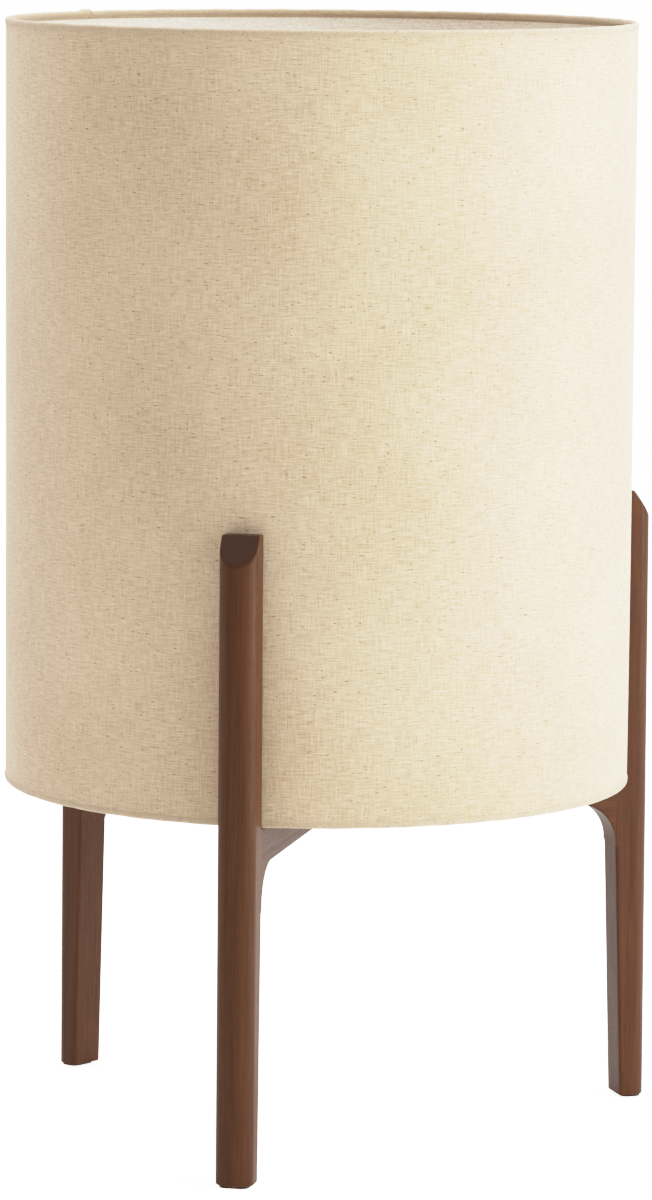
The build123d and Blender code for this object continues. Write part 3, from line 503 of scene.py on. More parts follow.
def dress(material, *names):
    """A CAD piece keeps its shape and takes a material; its faces are merged and shaded as curves,
    with its corners of more than 35 degrees kept crisp."""
    for name in names:
        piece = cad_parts[name]
        piece.data.materials.clear()
        piece.data.materials.append(material)
        piece.data.polygons.foreach_set("use_smooth", np.ones(len(piece.data.polygons), bool))
        weld = piece.modifiers.new("merge", "WELD")
        weld.merge_threshold = 2e-6
        split = piece.modifiers.new("corners", "EDGE_SPLIT")
        split.split_angle = radians(35)


beech, tree, shader = finish_of("beech")
where = put(tree, "TexCoord").outputs["Object"]
ray = speckle(tree, where, (500, 500, 500), 3, 0.6)
coat(tree, shader, blend(tree, ramp(tree, ray, 0.3, 0.7), (0.42, 0.25, 0.12), (0.62, 0.42, 0.24)), 0.65)
dress(beech, "knee_dowels", "hub_dowels")

# ---- Hub -----------------------------------------------------------------------------------------
# A six-sided walnut block with rounded corners, bored for the threaded rod and counterbored for its
# lower nut. The arms butt against every other flat.

HUB_CORNER = 8 * MM
HUB_EASE = 0.8 * MM
BORE = 5.4 * MM
COUNTERBORE = 13 * MM
COUNTERBORE_DEPTH = 13 * MM


def about_axis(radius, angle, up):
    """Points at a radius from the lamp's axis, in a direction in radians and at a height."""
    return np.stack([AXIS.x + radius * np.cos(angle), AXIS.y + radius * np.sin(angle), up + 0 * radius],
                    axis=-1)


def hub_surface():
    """Round the axis, the block's closed section: outside the hexagon's flats blended into its round
    corners, inside the bore with its wider step below."""
    angle = np.linspace(0, 2 * pi, 180, endpoint=False)[:, None]
    fold = np.abs((angle + pi / 6) % (pi / 3) - pi / 6)
    corner_at = (HUB_FLAT - HUB_CORNER) / cos(pi / 6)
    from_corner = pi / 6 - fold
    reach_to = corner_at * np.cos(from_corner) + np.sqrt(HUB_CORNER**2 - (corner_at * np.sin(from_corner))**2
                                                         * (corner_at * np.sin(from_corner) < HUB_CORNER))
    flat_edge = np.arctan2((HUB_FLAT - HUB_CORNER) * tan(pi / 6), HUB_FLAT)
    hexagon = np.where(fold < flat_edge, HUB_FLAT / np.cos(fold), reach_to)
    arc = np.linspace(0, pi / 2, 5)
    pull = np.concatenate([HUB_EASE * (1 - np.sin(arc)), HUB_EASE * (1 - np.cos(arc))])[None, :]
    low, high = ARM_UNDER, ARM_TOP
    up = np.concatenate([low + HUB_EASE * (1 - np.cos(arc)), high - HUB_EASE * (1 - np.sin(arc))])
    inner = np.array([BORE, BORE, BORE, COUNTERBORE, COUNTERBORE])
    inner_up = np.array([high, high, low + COUNTERBORE_DEPTH, low + COUNTERBORE_DEPTH, low])
    shrink = np.array([0.9, 0.5])
    top_face = BORE + (hexagon - BORE) * shrink[None, :]
    low_face = COUNTERBORE + (hexagon - COUNTERBORE) * shrink[None, ::-1]
    radius = np.hstack([hexagon - pull, top_face, inner[None, :] + 0 * hexagon, low_face])
    return about_axis(radius, angle, np.concatenate([up, [high, high], inner_up, [low, low]])[None, :])


hub_grid = hub_surface()
own(skin("walnut_hub", hub_grid, ring=True, marks={"grain": hub_grid + 0.9, "wear_and_highlight": 0 * hub_grid[..., 0]}),
    "stand", "hub_wood", walnut, "hub_block")

# ---- Hub plate and under-cover -------------------------------------------------------------------
# A round steel plate is screwed down over the hub and the arm ends, and a thin steel cover closes the
# hub from below. Both are powder coated satin black.


def coated_finish(name, colour, roughness, pebble=1800, depth=0.00012):
    """A painted or moulded skin with a fine pebble: its gloss and height vary by close noise, and slow
    noise shifts its shade a little."""
    material, tree, shader = finish_of(name)
    where = put(tree, "TexCoord").outputs["Object"]
    close = speckle(tree, where, (pebble, pebble, pebble), 2, 0.5)
    slow = speckle(tree, where, (60, 60, 60), 2, 0.5)
    shade = blend(tree, slow, tuple(0.75 * x for x in colour), tuple(min(1, 1.25 * x) for x in colour))
    gloss = ramp(tree, close, 0.3, 0.7, roughness - 0.06, roughness + 0.08)
    coat(tree, shader, shade, gloss, close, 0.35, depth)
    return material


black_coat = coated_finish("black_coat", (0.018, 0.018, 0.019), 0.38)
dress(black_coat, "hub_plate", "under_cover")

# ---- Screws --------------------------------------------------------------------------------------
# Zinc-plated wood screws: six countersunk through the plate, and three round-headed through the
# under-cover. Each has a cross recess and stands at its own turn.


def metal_finish(name, colour, dull, roughness, stretch=(90, 90, 2600)):
    """Bare or plated metal: fine drawn lines in its gloss, and a slow tarnish between two tones."""
    material, tree, shader = finish_of(name)
    where = put(tree, "TexCoord").outputs["Object"]
    drawn = speckle(tree, where, stretch, 2, 0.6)
    tarnish = speckle(tree, where, (110, 110, 110), 4, 0.6)
    shade = blend(tree, ramp(tree, tarnish, 0.35, 0.7), colour, dull)
    gloss = ramp(tree, drawn, 0.3, 0.7, roughness - 0.08, roughness + 0.1)
    coat(tree, shader, shade, gloss, drawn, 0.12, 0.0001)
    shader.inputs["Metallic"].default_value = 1.0
    return material


zinc = metal_finish("zinc", (0.62, 0.63, 0.64), (0.42, 0.43, 0.44), 0.3)


def one_of(name, pieces):
    """Several meshes made one piece."""
    together = bmesh.new()
    for piece in pieces:
        together.from_mesh(piece.data)
    made = bpy.data.objects.new(name, bpy.data.meshes.new(name))
    together.to_mesh(made.data)
    together.free()
    made.data.set_sharp_from_angle(angle=radians(38))
    bpy.context.scene.collection.objects.link(made)
    for piece in pieces:
        bpy.data.objects.remove(piece)
    return made


def screw_surface(rim, crown, skirt, shank, length, quarter_turn):
    """A screw upright with its head's top at height 0: rings out over a crowned head with a cross sunk
    in it, down round its rim and cone, and down the shank to a point. Crown is how far the head's
    middle stands above its rim, and skirt is how deep the cone or the rim is."""
    angle = np.linspace(0, 2 * pi, 48, endpoint=False)[None, :]
    over = np.linspace(0.02, 0.96, 14)[:, None]
    radius = rim * over
    x, y = radius * np.cos(angle), radius * np.sin(angle)
    narrow = np.minimum(np.abs(x), np.abs(y)) / (0.17 * rim)
    cross = np.clip(1.5 - narrow, 0, 1) * np.clip((0.66 - over) / 0.1, 0, 1)
    up = -crown * over**2 - 0.34 * rim * cross
    edge = np.array([0.995, 1.0, 0.985])[:, None] * rim
    edge_up = -crown - np.array([0.04, 0.14, 0.24])[:, None] * rim
    body = np.array([shank * 1.02, shank, shank, 0.55 * shank, 0.12 * shank])[:, None]
    body_up = -crown - np.array([skirt, skirt + 0.2 * shank, 0.8 * length, 0.93 * length, length])[:, None]
    radius = np.vstack([radius, edge, body]) + 0 * angle
    up = np.vstack([up, edge_up + 0 * angle, body_up + 0 * angle])
    turned_by = angle + quarter_turn
    return np.stack([radius * np.cos(turned_by), radius * np.sin(turned_by), up], axis=-1)


BETWEEN_ARMS = (-30.0, 90.0, 210.0)
PLATE_SCREW = {"rim": 3.6 * MM, "crown": 0.0, "skirt": 1.85 * MM, "shank": 1.75 * MM, "length": 16 * MM}
COVER_SCREW = {"rim": 2.8 * MM, "crown": 0.9 * MM, "skirt": 0.7 * MM, "shank": 1.4 * MM, "length": 10.7 * MM}
PLATE_PLACES = [(53 * MM, x) for x in LEGS.values()] + [(30 * MM, x) for x in BETWEEN_ARMS]
COVER_PLACES = [(28 * MM, x) for x in BETWEEN_ARMS]


def screw_set(name, node_name, screw, places, head_top, turn_each, turn_first, upright=1):
    """One piece of several screws at places given as (out, direction), their heads' tops at a height.
    Upright is -1 for heads that face down."""
    screws = []
    for number, (circle, direction) in enumerate(places):
        local = screw_surface(**screw, quarter_turn=turn_each * number + turn_first)
        local = local * np.array([1, 1, upright]) + np.array([circle, 0, head_top])
        screws.append(skin(f"{name}_{number}", placed(local, direction)))
    own(one_of(f"{name}_set", screws), "stand", "zinc", zinc, node_name)


screw_set("plate_screw", "plate_screws", PLATE_SCREW, PLATE_PLACES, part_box("plate_screws")[1].z, 0.7, 0.3)
screw_set("cover_screw", "cover_screws", COVER_SCREW, COVER_PLACES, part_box("cover_screws")[0].z, 0.9, 0.2, -1)

# ---- Cord bushing --------------------------------------------------------------------------------
# A moulded black nylon bushing, flanged below the under-cover, that the cord leaves through.


def spun(name, section, columns=96, thread=None):
    """A closed section of (radius, height) carried once round the lamp's axis. A thread sinks the
    radius by a rounded helical groove: (pitch, depth, how much of it at each point of the section)."""
    angle = np.linspace(0, 2 * pi, columns, endpoint=False)[:, None]
    radius, up = section[None, :, 0] + 0 * angle, section[None, :, 1] + 0 * angle
    if thread:
        pitch, depth, share = thread
        radius = radius - depth * share[None, :] * (0.5 - 0.5 * np.cos(2 * pi * up / pitch - angle))
    return skin(name, about_axis(radius, angle, up), ring=True)


def eased(corners, ease, base):
    """A closed outline of (radius, height) corners in millimetres over a base height, each corner
    rounded by a small parabola between two points on its sides, with a close point outside each."""
    outline = np.array(corners, float) * MM + np.array([0, base])
    back, on = np.roll(outline, 1, axis=0) - outline, np.roll(outline, -1, axis=0) - outline
    back_length = np.linalg.norm(back, axis=1, keepdims=True)
    on_length = np.linalg.norm(on, axis=1, keepdims=True)
    room = np.minimum(ease * MM, 0.35 * np.minimum(back_length, on_length))
    room = np.where(outline[:, :1] < 1e-6, 0, room)
    share = np.linspace(0, 1, 5)[None, :, None]
    start, stop = outline + back / back_length * room, outline + on / on_length * room
    curve = ((1 - share)**2 * start[:, None] + 2 * share * (1 - share) * outline[:, None]
             + share**2 * stop[:, None])
    before = (outline + back / back_length * room * 1.3)[:, None]
    after = (outline + on / on_length * room * 1.3)[:, None]
    return np.concatenate([before, curve, after], axis=1).reshape(-1, 2)


def turned(name, node_name, corners, ease, slot_name, material, body="stand", columns=96):
    """A turned piece that stands for a CAD node: heights are above that node's own base."""
    section = eased(corners, ease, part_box(node_name)[0].z)
    return own(spun(name, section, columns), body, slot_name, material, node_name)


black_nylon = coated_finish("black_nylon", (0.02, 0.02, 0.02), 0.45, 900)
turned("bushing", "cord_bushing", [(3.75, 0), (9.5, 0), (9.5, 1.5), (7, 1.5), (7, 7.5), (3.75, 7.5)], 0.6,
       "nylon", black_nylon)

# ---- Riser ---------------------------------------------------------------------------------------
# A hollow threaded rod stands through the hub between two nuts, with a turned cup on the plate, a
# brushed brass tube over it up to the lampholder, and plated washers and nuts.

ROD = 5 * MM
ROD_PITCH = 1.5 * MM
rod_low, rod_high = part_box("threaded_rod")
rod_up = np.arange(rod_low.z + 0.3 * MM, rod_high.z - 0.3 * MM, ROD_PITCH / 6)
rod_section = np.concatenate([np.stack([0 * rod_up + ROD, rod_up], axis=-1),
                              [(ROD - 0.5 * MM, rod_high.z), (3.75 * MM, rod_high.z)],
                              [(3.75 * MM, rod_low.z), (ROD - 0.5 * MM, rod_low.z)]])
rod_share = np.concatenate([0 * rod_up + 1, [0, 0, 0, 0]])
own(spun("rod", rod_section, 28, (ROD_PITCH, 0.55 * MM, rod_share)), "stand", "zinc", zinc, "threaded_rod")

spun_brass = metal_finish("spun_brass", (0.42, 0.28, 0.11), (0.25, 0.16, 0.07), 0.34)
turned("riser_sleeve", "riser_tube", [(6.8, 0), (8, 0), (8, 120), (6.8, 120)], 0.3, "spun_brass", spun_brass)
CUP_CORNERS = [(5.4, 0), (15, 0), (15, 1.6), (14.4, 2.6), (11.6, 3.8), (10.5, 5.2), (10.2, 7), (8.2, 7),
               (8.2, 3), (5.4, 3)]
turned("riser_cup", "seat_cup", CUP_CORNERS, 0.5, "spun_brass", spun_brass)
turned("washer_low", "lower_washer", [(5.4, 0), (10.5, 0), (10.5, 1.5), (5.4, 1.5)], 0.3, "zinc", zinc)
turned("washer_lock", "lock_washer", [(5.4, 0), (8.5, 0), (8.5, 1.2), (5.4, 1.2)], 0.25, "zinc", zinc)


NUT_HALF = 7 * MM
NUT_FACE = 6.9 * MM
NUT_CONE = 1.73


def nut(name, node_name):
    """A hexagon nut: the hexagon's radius by direction, cut by a cone at its top and its bottom, with a
    chamfered bore."""
    low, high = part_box(node_name)[0].z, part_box(node_name)[1].z
    angle = np.linspace(0, 2 * pi, 96, endpoint=False)[:, None]
    hexagon = NUT_HALF / np.cos((angle + pi / 6) % (pi / 3) - pi / 6)
    edge = np.concatenate([np.linspace(0, 0.8, 7), np.linspace(0.8, 0, 7)])[None, :] * MM
    up = np.concatenate([low + edge[0, :7], high - edge[0, 7:]])
    outside = np.minimum(hexagon, NUT_FACE + NUT_CONE * edge)
    bore = np.array([BORE, ROD, ROD, BORE])[None, :] + 0 * angle
    bore_up = np.array([high, high - (BORE - ROD), low + (BORE - ROD), low])
    radius, up = np.hstack([outside, bore]), np.concatenate([up, bore_up])[None, :]
    own(skin(name, about_axis(radius, angle, up), ring=True, crease=25), "stand", "zinc", zinc, node_name)


nut("nut_low", "lower_nut")
nut("nut_lock", "lock_nut")

# ---- Lampholder ----------------------------------------------------------------------------------
# A spun brass cap and shell round a fibre sleeve, with a moulded switch body, its terminals, the
# threaded screw shell and the sprung centre contact inside.

dress(spun_brass, "holder_cap", "holder_shell")
dress(coated_finish("fibre_board", (0.30, 0.20, 0.11), 0.8, 1200, 0.0002), "insulating_sleeve")
phenolic = coated_finish("phenolic", (0.024, 0.019, 0.016), 0.3, 700)
dress(phenolic, "switch_body")
brass = metal_finish("brass", (0.66, 0.45, 0.16), (0.48, 0.31, 0.12), 0.28)
dress(brass, "terminal_screws", "centre_contact")
dress(zinc, "set_screw")

SOCKET = 13.6 * MM
SOCKET_WALL = 0.4 * MM
SOCKET_HOLE = 5 * MM
THREAD_PITCH = 3.62 * MM
socket_low, socket_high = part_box("screw_shell")


def threaded_wall(name, up, fade_over, outside, wall, top, foot_outside, foot_inside, depth):
    """A thin wall with a rolled thread: its section goes up its outer face, over its top and down its
    inner face, and its foot is given as points. The thread fades out towards both ends."""
    fade = np.clip(np.minimum(up - up[0], up[-1] - up) / fade_over, 0, 1)
    section = np.concatenate([
        foot_outside, np.stack([0 * up + outside, up], axis=-1), [(outside, top), (outside - wall, top)],
        np.stack([0 * up + outside - wall, up], axis=-1)[::-1], foot_inside])
    share = np.concatenate([[0, 0], fade, [0, 0], fade[::-1], [0, 0]])
    return spun(name, section, 64, (THREAD_PITCH, depth, share))


socket_up = np.linspace(socket_low.z + 1.2 * MM, socket_high.z - 0.4 * MM, 66)
socket_floor = socket_low.z + SOCKET_WALL
socket = threaded_wall("socket_shell", socket_up, 2.5 * MM, SOCKET + SOCKET_WALL, SOCKET_WALL, socket_high.z,
                       [(SOCKET_HOLE, socket_low.z), (SOCKET + SOCKET_WALL, socket_low.z)],
                       [(SOCKET, socket_floor), (SOCKET_HOLE, socket_floor)], 0.36 * MM)
own(socket, "stand", "brass", brass, "screw_shell")

# ---- Switch knob ---------------------------------------------------------------------------------
# A moulded black knob pressed on the switch's steel shaft: a round skirt with a fine edge, and a grip
# with two finger flats.

dress(zinc, "knob_shaft")
knob_low, knob_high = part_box("turn_knob")
knob_up = (knob_low.z + knob_high.z) / 2


def knob_surface():
    """Sections along the knob's axis: a serrated round skirt, a step, then a grip whose round section is
    pressed towards two flats, rounded over at its end. The bore runs back to the start."""
    angle = np.linspace(0, 2 * pi, 96, endpoint=False)[None, :]
    serration = 1 - 0.02 * (0.5 + 0.5 * np.cos(36 * angle))
    flats = ((np.abs(np.sin(angle)) / 3.4)**10 + (1 / 6.5)**10) ** -0.1
    along = [0, 0.25, 0.6, 2.0, 2.35, 2.5]
    skirt = [6.9, 7.3, 7.5, 7.5, 7.3, 6.9]
    ridged = [0, 0.6, 1, 1, 0.6, 0]
    rows = [radius * (1 + share * (serration - 1)) for radius, share in zip(skirt, ridged)]
    end = np.linspace(0, pi / 2, 6)
    grip_along = np.concatenate([[2.55, 2.8, 6, 10], 12.8 + 1.2 * np.sin(end)])
    pull = np.concatenate([[-0.3, 0, 0, 0], 1.2 * (1 - np.cos(end))])
    rows += [flats - inset for inset in pull]
    radius = np.vstack([row + 0 * angle for row in rows]) * MM
    along = np.concatenate([along, grip_along])[:, None] * MM
    radius = np.vstack([radius, 0.5 * MM * radius[-1:] / radius[-1:].max()])
    along = np.vstack([along, along[-1:]])
    return np.stack([knob_low.x + along + 0 * radius, AXIS.y + radius * np.cos(angle),
                     knob_up + radius * np.sin(angle)], axis=-1)


own(skin("knob", knob_surface()), "knob", "phenolic", phenolic, "turn_knob")

# ---- Bulb ----------------------------------------------------------------------------------------
# A clear globe bulb with four upright filaments: blown glass sealed on a stem, a pressed cap with a
# rolled thread, a black glass insulator and a soldered contact.

bulb_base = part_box("bulb_contact")[0].z
CAP = 12.98 * MM
CAP_WALL = 0.35 * MM
CAP_TOP = 24.5 * MM
cap_metal = metal_finish("cap_metal", (0.66, 0.65, 0.62), (0.50, 0.49, 0.47), 0.26)
cap_up = bulb_base + np.linspace(6.4, 23.6, 60) * MM
cap = threaded_wall("cap", cap_up, 3 * MM, CAP, CAP_WALL, bulb_base + CAP_TOP,
                    [(10 * MM, bulb_base + 3.4 * MM), (12.4 * MM, bulb_base + 5.4 * MM)],
                    [(12.05 * MM, bulb_base + 5.55 * MM), (9.65 * MM, bulb_base + 3.6 * MM)], 0.7 * MM)
own(cap, "bulb", "cap_metal", cap_metal, "bulb_cap")
dress(coated_finish("black_vitrite", (0.012, 0.012, 0.014), 0.15, 400), "bulb_insulator")
dress(metal_finish("solder", (0.55, 0.55, 0.54), (0.38, 0.38, 0.38), 0.4), "bulb_contact")

glass, tree, shader = finish_of("clear_glass")
shader.inputs["Base Color"].default_value = (0.97, 0.985, 0.98, 1)
shader.inputs["Transmission Weight"].default_value = 1.0
shader.inputs["IOR"].default_value = 1.47
where = put(tree, "TexCoord").outputs["Object"]
haze = ramp(tree, speckle(tree, where, (40, 40, 40)), 0.3, 0.7, 0.0, 0.02)
tree.links.new(haze, shader.inputs["Roughness"])


def globe_section(inset):
    """Half the glass from its neck to its crown: a straight neck, a shoulder that swells by a smooth
    step, and three eighths of a circle, all drawn in by the inset."""
    rise = np.linspace(0, 1, 33)
    shoulder = np.stack([12.4 + 17.6 * smooth(rise) - inset, 28 + 50 * rise], axis=-1)
    crown = np.linspace(0, pi / 2, 31)[1:]
    top = np.stack([(30 - inset) * np.cos(crown), 78 + (30 - inset) * np.sin(crown)], axis=-1)
    neck = np.array([(12.4 - inset, 22.5), (12.4 - inset, 25)])
    return np.concatenate([neck, shoulder, top]) * MM + np.array([0, bulb_base])


own(spun("globe", np.concatenate([globe_section(0), globe_section(0.8)[::-1]]), 96), "bulb", "clear_glass",
    glass, "bulb_glass")
STEM_CORNERS = [(0, 0), (11, 0), (11, 1), (7, 3.5), (4.2, 8), (4.2, 19.5), (2.2, 23.5), (2.2, 67.5),
                (0, 67.5)]
turned("stem", "bulb_stem", STEM_CORNERS, 0.8, "clear_glass", glass, "bulb", 48)


def bar(start, end, radius, columns, ends_round=6):
    """A straight round bar with domed ends, between two points given as (out, sideways, up)."""
    start, end = np.array(start, float), np.array(end, float)
    length = np.linalg.norm(end - start)
    ahead = (end - start) / length
    beside = np.cross(ahead, (0, 1, 0))
    beside /= np.linalg.norm(beside)
    third = np.cross(ahead, beside)
    dome = np.linspace(0.12, pi / 2, ends_round)
    along = np.concatenate([radius * (1 - np.cos(dome)), length - radius * (1 - np.cos(dome[::-1]))])
    wide = np.concatenate([np.sin(dome), np.sin(dome[::-1])]) * radius
    angle = np.linspace(0, 2 * pi, columns, endpoint=False)
    ring_out = beside * np.cos(angle)[:, None] + third * np.sin(angle)[:, None]
    return start + ahead * along[:, None, None] + ring_out[None] * wide[:, None, None]


phosphor, tree, shader = finish_of("phosphor")
where = put(tree, "TexCoord").outputs["Object"]
grainy = speckle(tree, where, (2500, 2500, 1200), 2, 0.6)
coat(tree, shader, blend(tree, ramp(tree, grainy, 0.3, 0.7), (0.80, 0.46, 0.06), (0.90, 0.62, 0.14)), 0.55)
FILAMENTS = (45.0, 135.0, 225.0, 315.0)
filament_low = np.array([7, 0, 50]) * MM + np.array([0, 0, bulb_base])
filament_high = filament_low + np.array([4, 0, 35.777]) * MM
strips, wires = [], []
for direction in FILAMENTS:
    strips.append(skin("strip", placed(bar(filament_low, filament_high, MM, 16), direction)))
    for end, stem_up in ((filament_low, 43), (filament_high, 87)):
        inner = np.array([1.9 * MM, 0, bulb_base + stem_up * MM])
        outer = end - (end - inner) / np.linalg.norm(end - inner) * 0.9 * MM
        wires.append(skin("wire", placed(bar(inner, outer, 0.35 * MM, 10, 3), direction)))
own(one_of("filament_set", strips), "bulb", "phosphor", phosphor, "bulb_filaments")
own(one_of("support_wires", wires), "bulb", "cap_metal", cap_metal, "bulb_supports")

# ---- Shade cloth ---------------------------------------------------------------------------------
# One piece of oatmeal linen and cotton, glued to a stiff white film and rolled into a drum. Its ends
# lap by a centimetre at the left leg, where the outer edge is turned under and shows as a low step.

SHADE_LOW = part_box("bottom_hem")[0].z
SHADE_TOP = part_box("top_hem")[1].z
SHADE_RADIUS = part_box("top_hem")[1].x - AXIS.x
CLOTH_OUTSIDE = SHADE_RADIUS - 0.6 * MM
CLOTH_THICKNESS = 0.6 * MM
HEM_ROUND = 2.23 * MM
LAP_DIRECTION = radians(154)
LAP_WIDTH = 10 * MM
LAP_RISE = 0.5 * MM
DRUM_COLUMNS = 400


def round_the_drum(count):
    """Directions once round the shade, closer together at the lap."""
    even = np.linspace(0, 2 * pi, count, endpoint=False)
    near = LAP_DIRECTION + np.linspace(-0.06, 0.06, 49)
    far_off = np.abs(even - LAP_DIRECTION) > 0.062
    return np.sort(np.concatenate([even[far_off], near]))


def lap_step(angle):
    """How far the lapped end stands out: a sharp step at its turned edge, fading to nothing past it."""
    along = (angle - LAP_DIRECTION) * SHADE_RADIUS
    step = np.clip((along + LAP_WIDTH / 2) / (0.5 * MM), 0, 1)
    fade = 1 - np.clip((along - LAP_WIDTH / 4) / (LAP_WIDTH * 0.75), 0, 1)
    return LAP_RISE * smooth(step) * smooth(fade)


def drum_ripple(angle, height):
    """The slight unevenness of a rolled drum: a few slow waves round it and up it."""
    up = (height - SHADE_LOW) / (SHADE_TOP - SHADE_LOW)
    calm = np.sin(pi * np.clip(up, 0, 1)) ** 0.5
    return calm * MM * (0.22 * np.sin(3 * angle + 1.1) + 0.12 * np.sin(7 * angle + 4 * up)
                        + 0.07 * np.sin(13 * angle - 9 * up + 2))


def drum_wall(outside, thickness, low, high, rows_up, inner_rows, lapped):
    """The wall of the drum: loops round its thickness, carried round the circle of directions."""
    angle = round_the_drum(DRUM_COLUMNS)[:, None]
    ease = 0.35 * thickness
    hem_rows = MM * np.array([1.5, 3, 5, 7])
    outer_up = np.sort(np.concatenate([np.linspace(low + ease, high - ease, rows_up), high - hem_rows,
                                       low + hem_rows]))
    inner_up = np.linspace(high - ease, low + ease, inner_rows)
    up = np.concatenate([outer_up, [high, high], inner_up, [low, low]])[None, :]
    back = np.concatenate([0 * outer_up, [ease, thickness - ease], 0 * inner_up + thickness,
                           [thickness - ease, ease]])[None, :]
    ripple = drum_ripple(angle, up)
    radius = outside - back + ripple + lapped * lap_step(angle) * np.clip(1 - back / thickness, 0, 1)
    closed = np.vstack([angle, angle[:1] + 2 * pi])
    up_closed = np.hstack([up, up[:, :1]])
    uv = np.stack([closed * outside + 0 * up_closed, up_closed + 0 * closed], axis=-1)
    # Painted shade: the cloth is marked darker within a few millimetres of both hems, where less light comes
    # through it.
    painted_hem_shade = 0.2 * np.exp(-np.minimum(high - up, up - low) / (3.5 * MM)) + 0 * angle
    return about_axis(radius, angle, up), uv, painted_hem_shade


def linen_finish(name, pale, tan_tone, dark):
    """Plain woven linen and cotton, laid out by its own uv map in metres. Uneven weft threads run round
    the shade as short thick and thin streaks, finer warp threads cross them, slubs and flecks are
    scattered, and the cloth clouds slowly between its pale and its tan tone. Near the hems, where the
    hem shade mark is high, the colour is painted darker, as painted shade for the light that the
    doubled cloth and the ring keep from coming through."""
    material, tree, shader = finish_of(name)
    laid = put(tree, "UVMap", uv_map="cloth").outputs["UV"]
    weft = speckle(tree, laid, (75, 1050, 1), 3, 0.75)
    warp = speckle(tree, laid, (1050, 60, 1), 3, 0.75, (7, 3, 0))
    slub = speckle(tree, laid, (150, 700, 1), 2, 0.5, (2, 9, 0))
    fleck = speckle(tree, laid, (230, 800, 1), 1, 0.5, (5, 1, 0))
    cloud = speckle(tree, laid, (9, 9, 1), 3, 0.5)
    threads = sums(tree, "ADD", ramp(tree, weft, 0.3, 0.7, -0.5, 0.5),
                   ramp(tree, warp, 0.3, 0.7, -0.35, 0.35))
    tone = sums(tree, "ADD", ramp(tree, cloud, 0.3, 0.7, 0.4, 0.7), threads)
    colour = blend(tree, ramp(tree, tone, 0, 1), tan_tone, pale)
    colour = blend(tree, ramp(tree, slub, 0.6, 0.78, 0, 0.42), colour, dark)
    colour = blend(tree, ramp(tree, fleck, 0.675, 0.74, 0, 0.8), colour, dark)
    # Painted shade: darker by the hem shade mark near the hems.
    painted_hem_shade = put(tree, "Attribute", attribute_name="painted_hem_shade").outputs["Fac"]
    colour = blend(tree, painted_hem_shade, colour, dark)
    relief = sums(tree, "ADD", threads, ramp(tree, slub, 0.55, 0.8, 0, 0.8))
    coat(tree, shader, colour, 0.92, relief, 0.45, 0.0003)
    shader.inputs["Specular IOR Level"].default_value = 0.25
    shader.inputs["Sheen Weight"].default_value = 0.38
    shader.inputs["Sheen Roughness"].default_value = 0.5
    return material


linen = linen_finish("linen", (0.735, 0.583, 0.417), (0.49, 0.35, 0.222), (0.22, 0.125, 0.06))
cloth_grid, cloth_uv, cloth_painted_shade = drum_wall(CLOTH_OUTSIDE, CLOTH_THICKNESS, SHADE_LOW + HEM_ROUND,
                                                SHADE_TOP - HEM_ROUND, 60, 8, 1.0)
shade_cloth = own(skin("shade_cloth", cloth_grid, ring=True, uv=cloth_uv, marks={"painted_hem_shade": cloth_painted_shade}),
                  "shade", "linen", linen, "shade_fabric")

# ---- Shade lining --------------------------------------------------------------------------------
# The stiff white film that the cloth is glued to. The weave shows through it as faint blotches.

LINING_THICKNESS = 0.5 * MM
lining, tree, shader = finish_of("lining")
laid = put(tree, "UVMap", uv_map="cloth").outputs["UV"]
blotch = speckle(tree, laid, (420, 520, 1), 3, 0.6)
stripe = speckle(tree, laid, (60, 760, 1), 2, 0.6)
shown = sums(tree, "ADD", sums(tree, "MULTIPLY", blotch, 0.6), sums(tree, "MULTIPLY", stripe, 0.4))
film = blend(tree, ramp(tree, shown, 0.38, 0.62), (0.74, 0.64, 0.54), (0.95, 0.90, 0.83))
coat(tree, shader, film, 0.5, shown, 0.2, 0.0002)
lining_grid, lining_uv = drum_wall(CLOTH_OUTSIDE - CLOTH_THICKNESS, LINING_THICKNESS, SHADE_LOW + HEM_ROUND,
                                   SHADE_TOP - HEM_ROUND, 8, 8, 0.0)[:2]
own(skin("shade_lining", lining_grid, ring=True, uv=lining_uv), "shade", "lining", lining, "shade_liner")

# ---- Shade rings ---------------------------------------------------------------------------------
# Two rings of steel wire, dipped white, that the hems are folded over.

dress(coated_finish("white_dip", (0.80, 0.80, 0.77), 0.35, 900), "top_ring", "bottom_ring")

# ---- Shade hems ----------------------------------------------------------------------------------
# The same cloth on the bias, folded over a wire ring at each edge of the drum and glued down on both
# sides. Over the lap it is thicker, and its inner end is turned under.

TAPE = 0.6 * MM
HEM_OUTSIDE = 4.5 * MM
HEM_INSIDE = 4 * MM
RING_REACH = 1.08 * MM


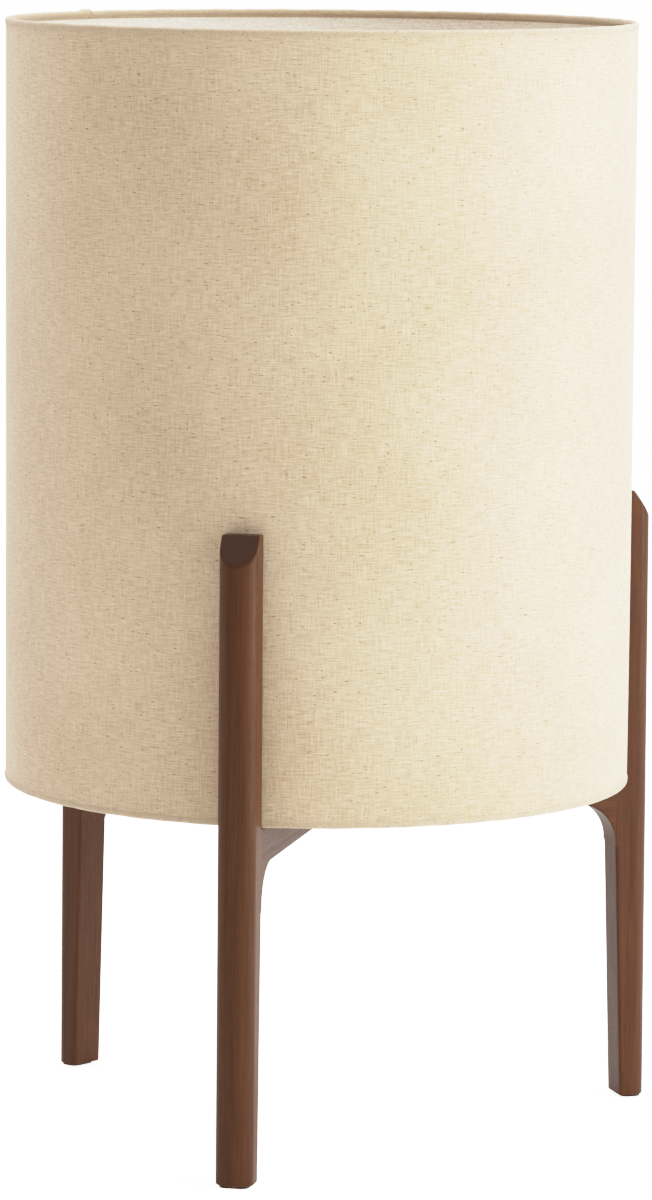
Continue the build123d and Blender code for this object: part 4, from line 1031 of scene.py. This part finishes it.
def hem_surface(edge, inward):
    """The tape's section, carried round the drum: up its outer leg, over the ring in a half circle and
    down its inner leg, then back along its underside. The outer leg thins to nothing at its end."""
    angle = round_the_drum(DRUM_COLUMNS)[:, None]
    over = np.linspace(0, pi, 15)
    middle = SHADE_RADIUS - HEM_ROUND
    inner_leg = np.linspace(0, 1, 8)
    drop = np.concatenate([np.linspace(HEM_OUTSIDE, HEM_ROUND, 6)[:-1], HEM_ROUND * (1 - np.sin(over)),
                           HEM_ROUND + RING_REACH + (HEM_INSIDE - RING_REACH) * inner_leg])
    thin = np.concatenate([np.array([0.12, 0.5, 0.8, 0.95, 1.0]), 1 + 0 * over, 1 + 0 * inner_leg])
    settle = smooth(np.clip(inner_leg * 2, 0, 1))
    lining_face = CLOTH_OUTSIDE - CLOTH_THICKNESS - LINING_THICKNESS
    inner_back = lining_face - (middle - HEM_ROUND + TAPE)
    outer = np.concatenate([SHADE_RADIUS - TAPE * (1 - thin[:5]), middle + HEM_ROUND * np.cos(over),
                            middle - HEM_ROUND + inner_back * settle])
    turned_under = np.concatenate([0 * drop[:5], np.sin(over), 0 * inner_leg])
    toward = np.concatenate([np.full(5, -1.0), -np.cos(over), np.full(8, 1.0)])
    under = outer + TAPE * thin * toward
    under_drop = drop + TAPE * turned_under
    lap = lap_step(angle) / LAP_RISE
    facing = -toward * (1 - 0.2 * turned_under)
    radius = outer[None, :] + MM * 0.35 * lap * facing[None, :]
    crest = drop[None, :] - MM * 1.3 * lap * turned_under[None, :]
    wobble = MM * (0.10 * np.sin(31 * angle + 1) + 0.08 * np.sin(57 * angle + 2) + 0.05 * np.sin(113 * angle))
    radius = radius + wobble * 0.6
    crest = crest + wobble * turned_under[None, :]
    under_radius = under[None, :] + wobble * 0.6
    all_radius = np.hstack([radius, under_radius[:, ::-1]])
    all_drop = np.hstack([crest, (under_drop[None, :] + 0 * angle)[:, ::-1]])
    grid = about_axis(all_radius, angle, edge + inward * all_drop)
    path = np.concatenate([[0], np.cumsum(np.hypot(np.diff(outer), np.diff(drop)))])
    path = np.concatenate([path, path[::-1], path[:1]])[None, :]
    closed = np.vstack([angle, angle[:1] + 2 * pi])
    slant = closed * SHADE_RADIUS
    uv = np.stack([0.7 * slant + 0.7 * path, 0.7 * path - 0.7 * slant], axis=-1)
    # Painted shade on the tape: a little darker on its outer leg, darker still on its inner leg, none on the
    # crest, and a dark painted shadow on the inner side just beside the lap, where the turned-under end leaves
    # a gap.
    seam_shadow = np.exp(-((angle - LAP_DIRECTION) * SHADE_RADIUS / MM + 4) ** 2)
    side_shade = np.where(over < pi / 2, 0.24, 0.42)
    tone = np.concatenate([np.full(5, 0.24), side_shade * (1 - np.sin(over)), np.full(8, 0.42)])
    inner = np.concatenate([0 * tone[:13], 0 * tone[13:] + 1])
    tone = np.maximum(tone[None, :], 0.85 * seam_shadow * inner[None, :])
    return grid, uv, np.hstack([tone, tone[:, ::-1]])


hem_linen = linen_finish("hem_linen", (0.70, 0.57, 0.42), (0.51, 0.385, 0.26), (0.24, 0.15, 0.085))
for hem_name, edge, inward in (("top_hem", SHADE_TOP, -1), ("bottom_hem", SHADE_LOW, 1)):
    hem_grid, hem_uv, hem_painted_shade = hem_surface(edge, inward)
    own(skin(f"{hem_name}_tape", hem_grid, ring=True, uv=hem_uv, marks={"painted_hem_shade": hem_painted_shade}),
                    "shade", "hem_linen", hem_linen, hem_name)
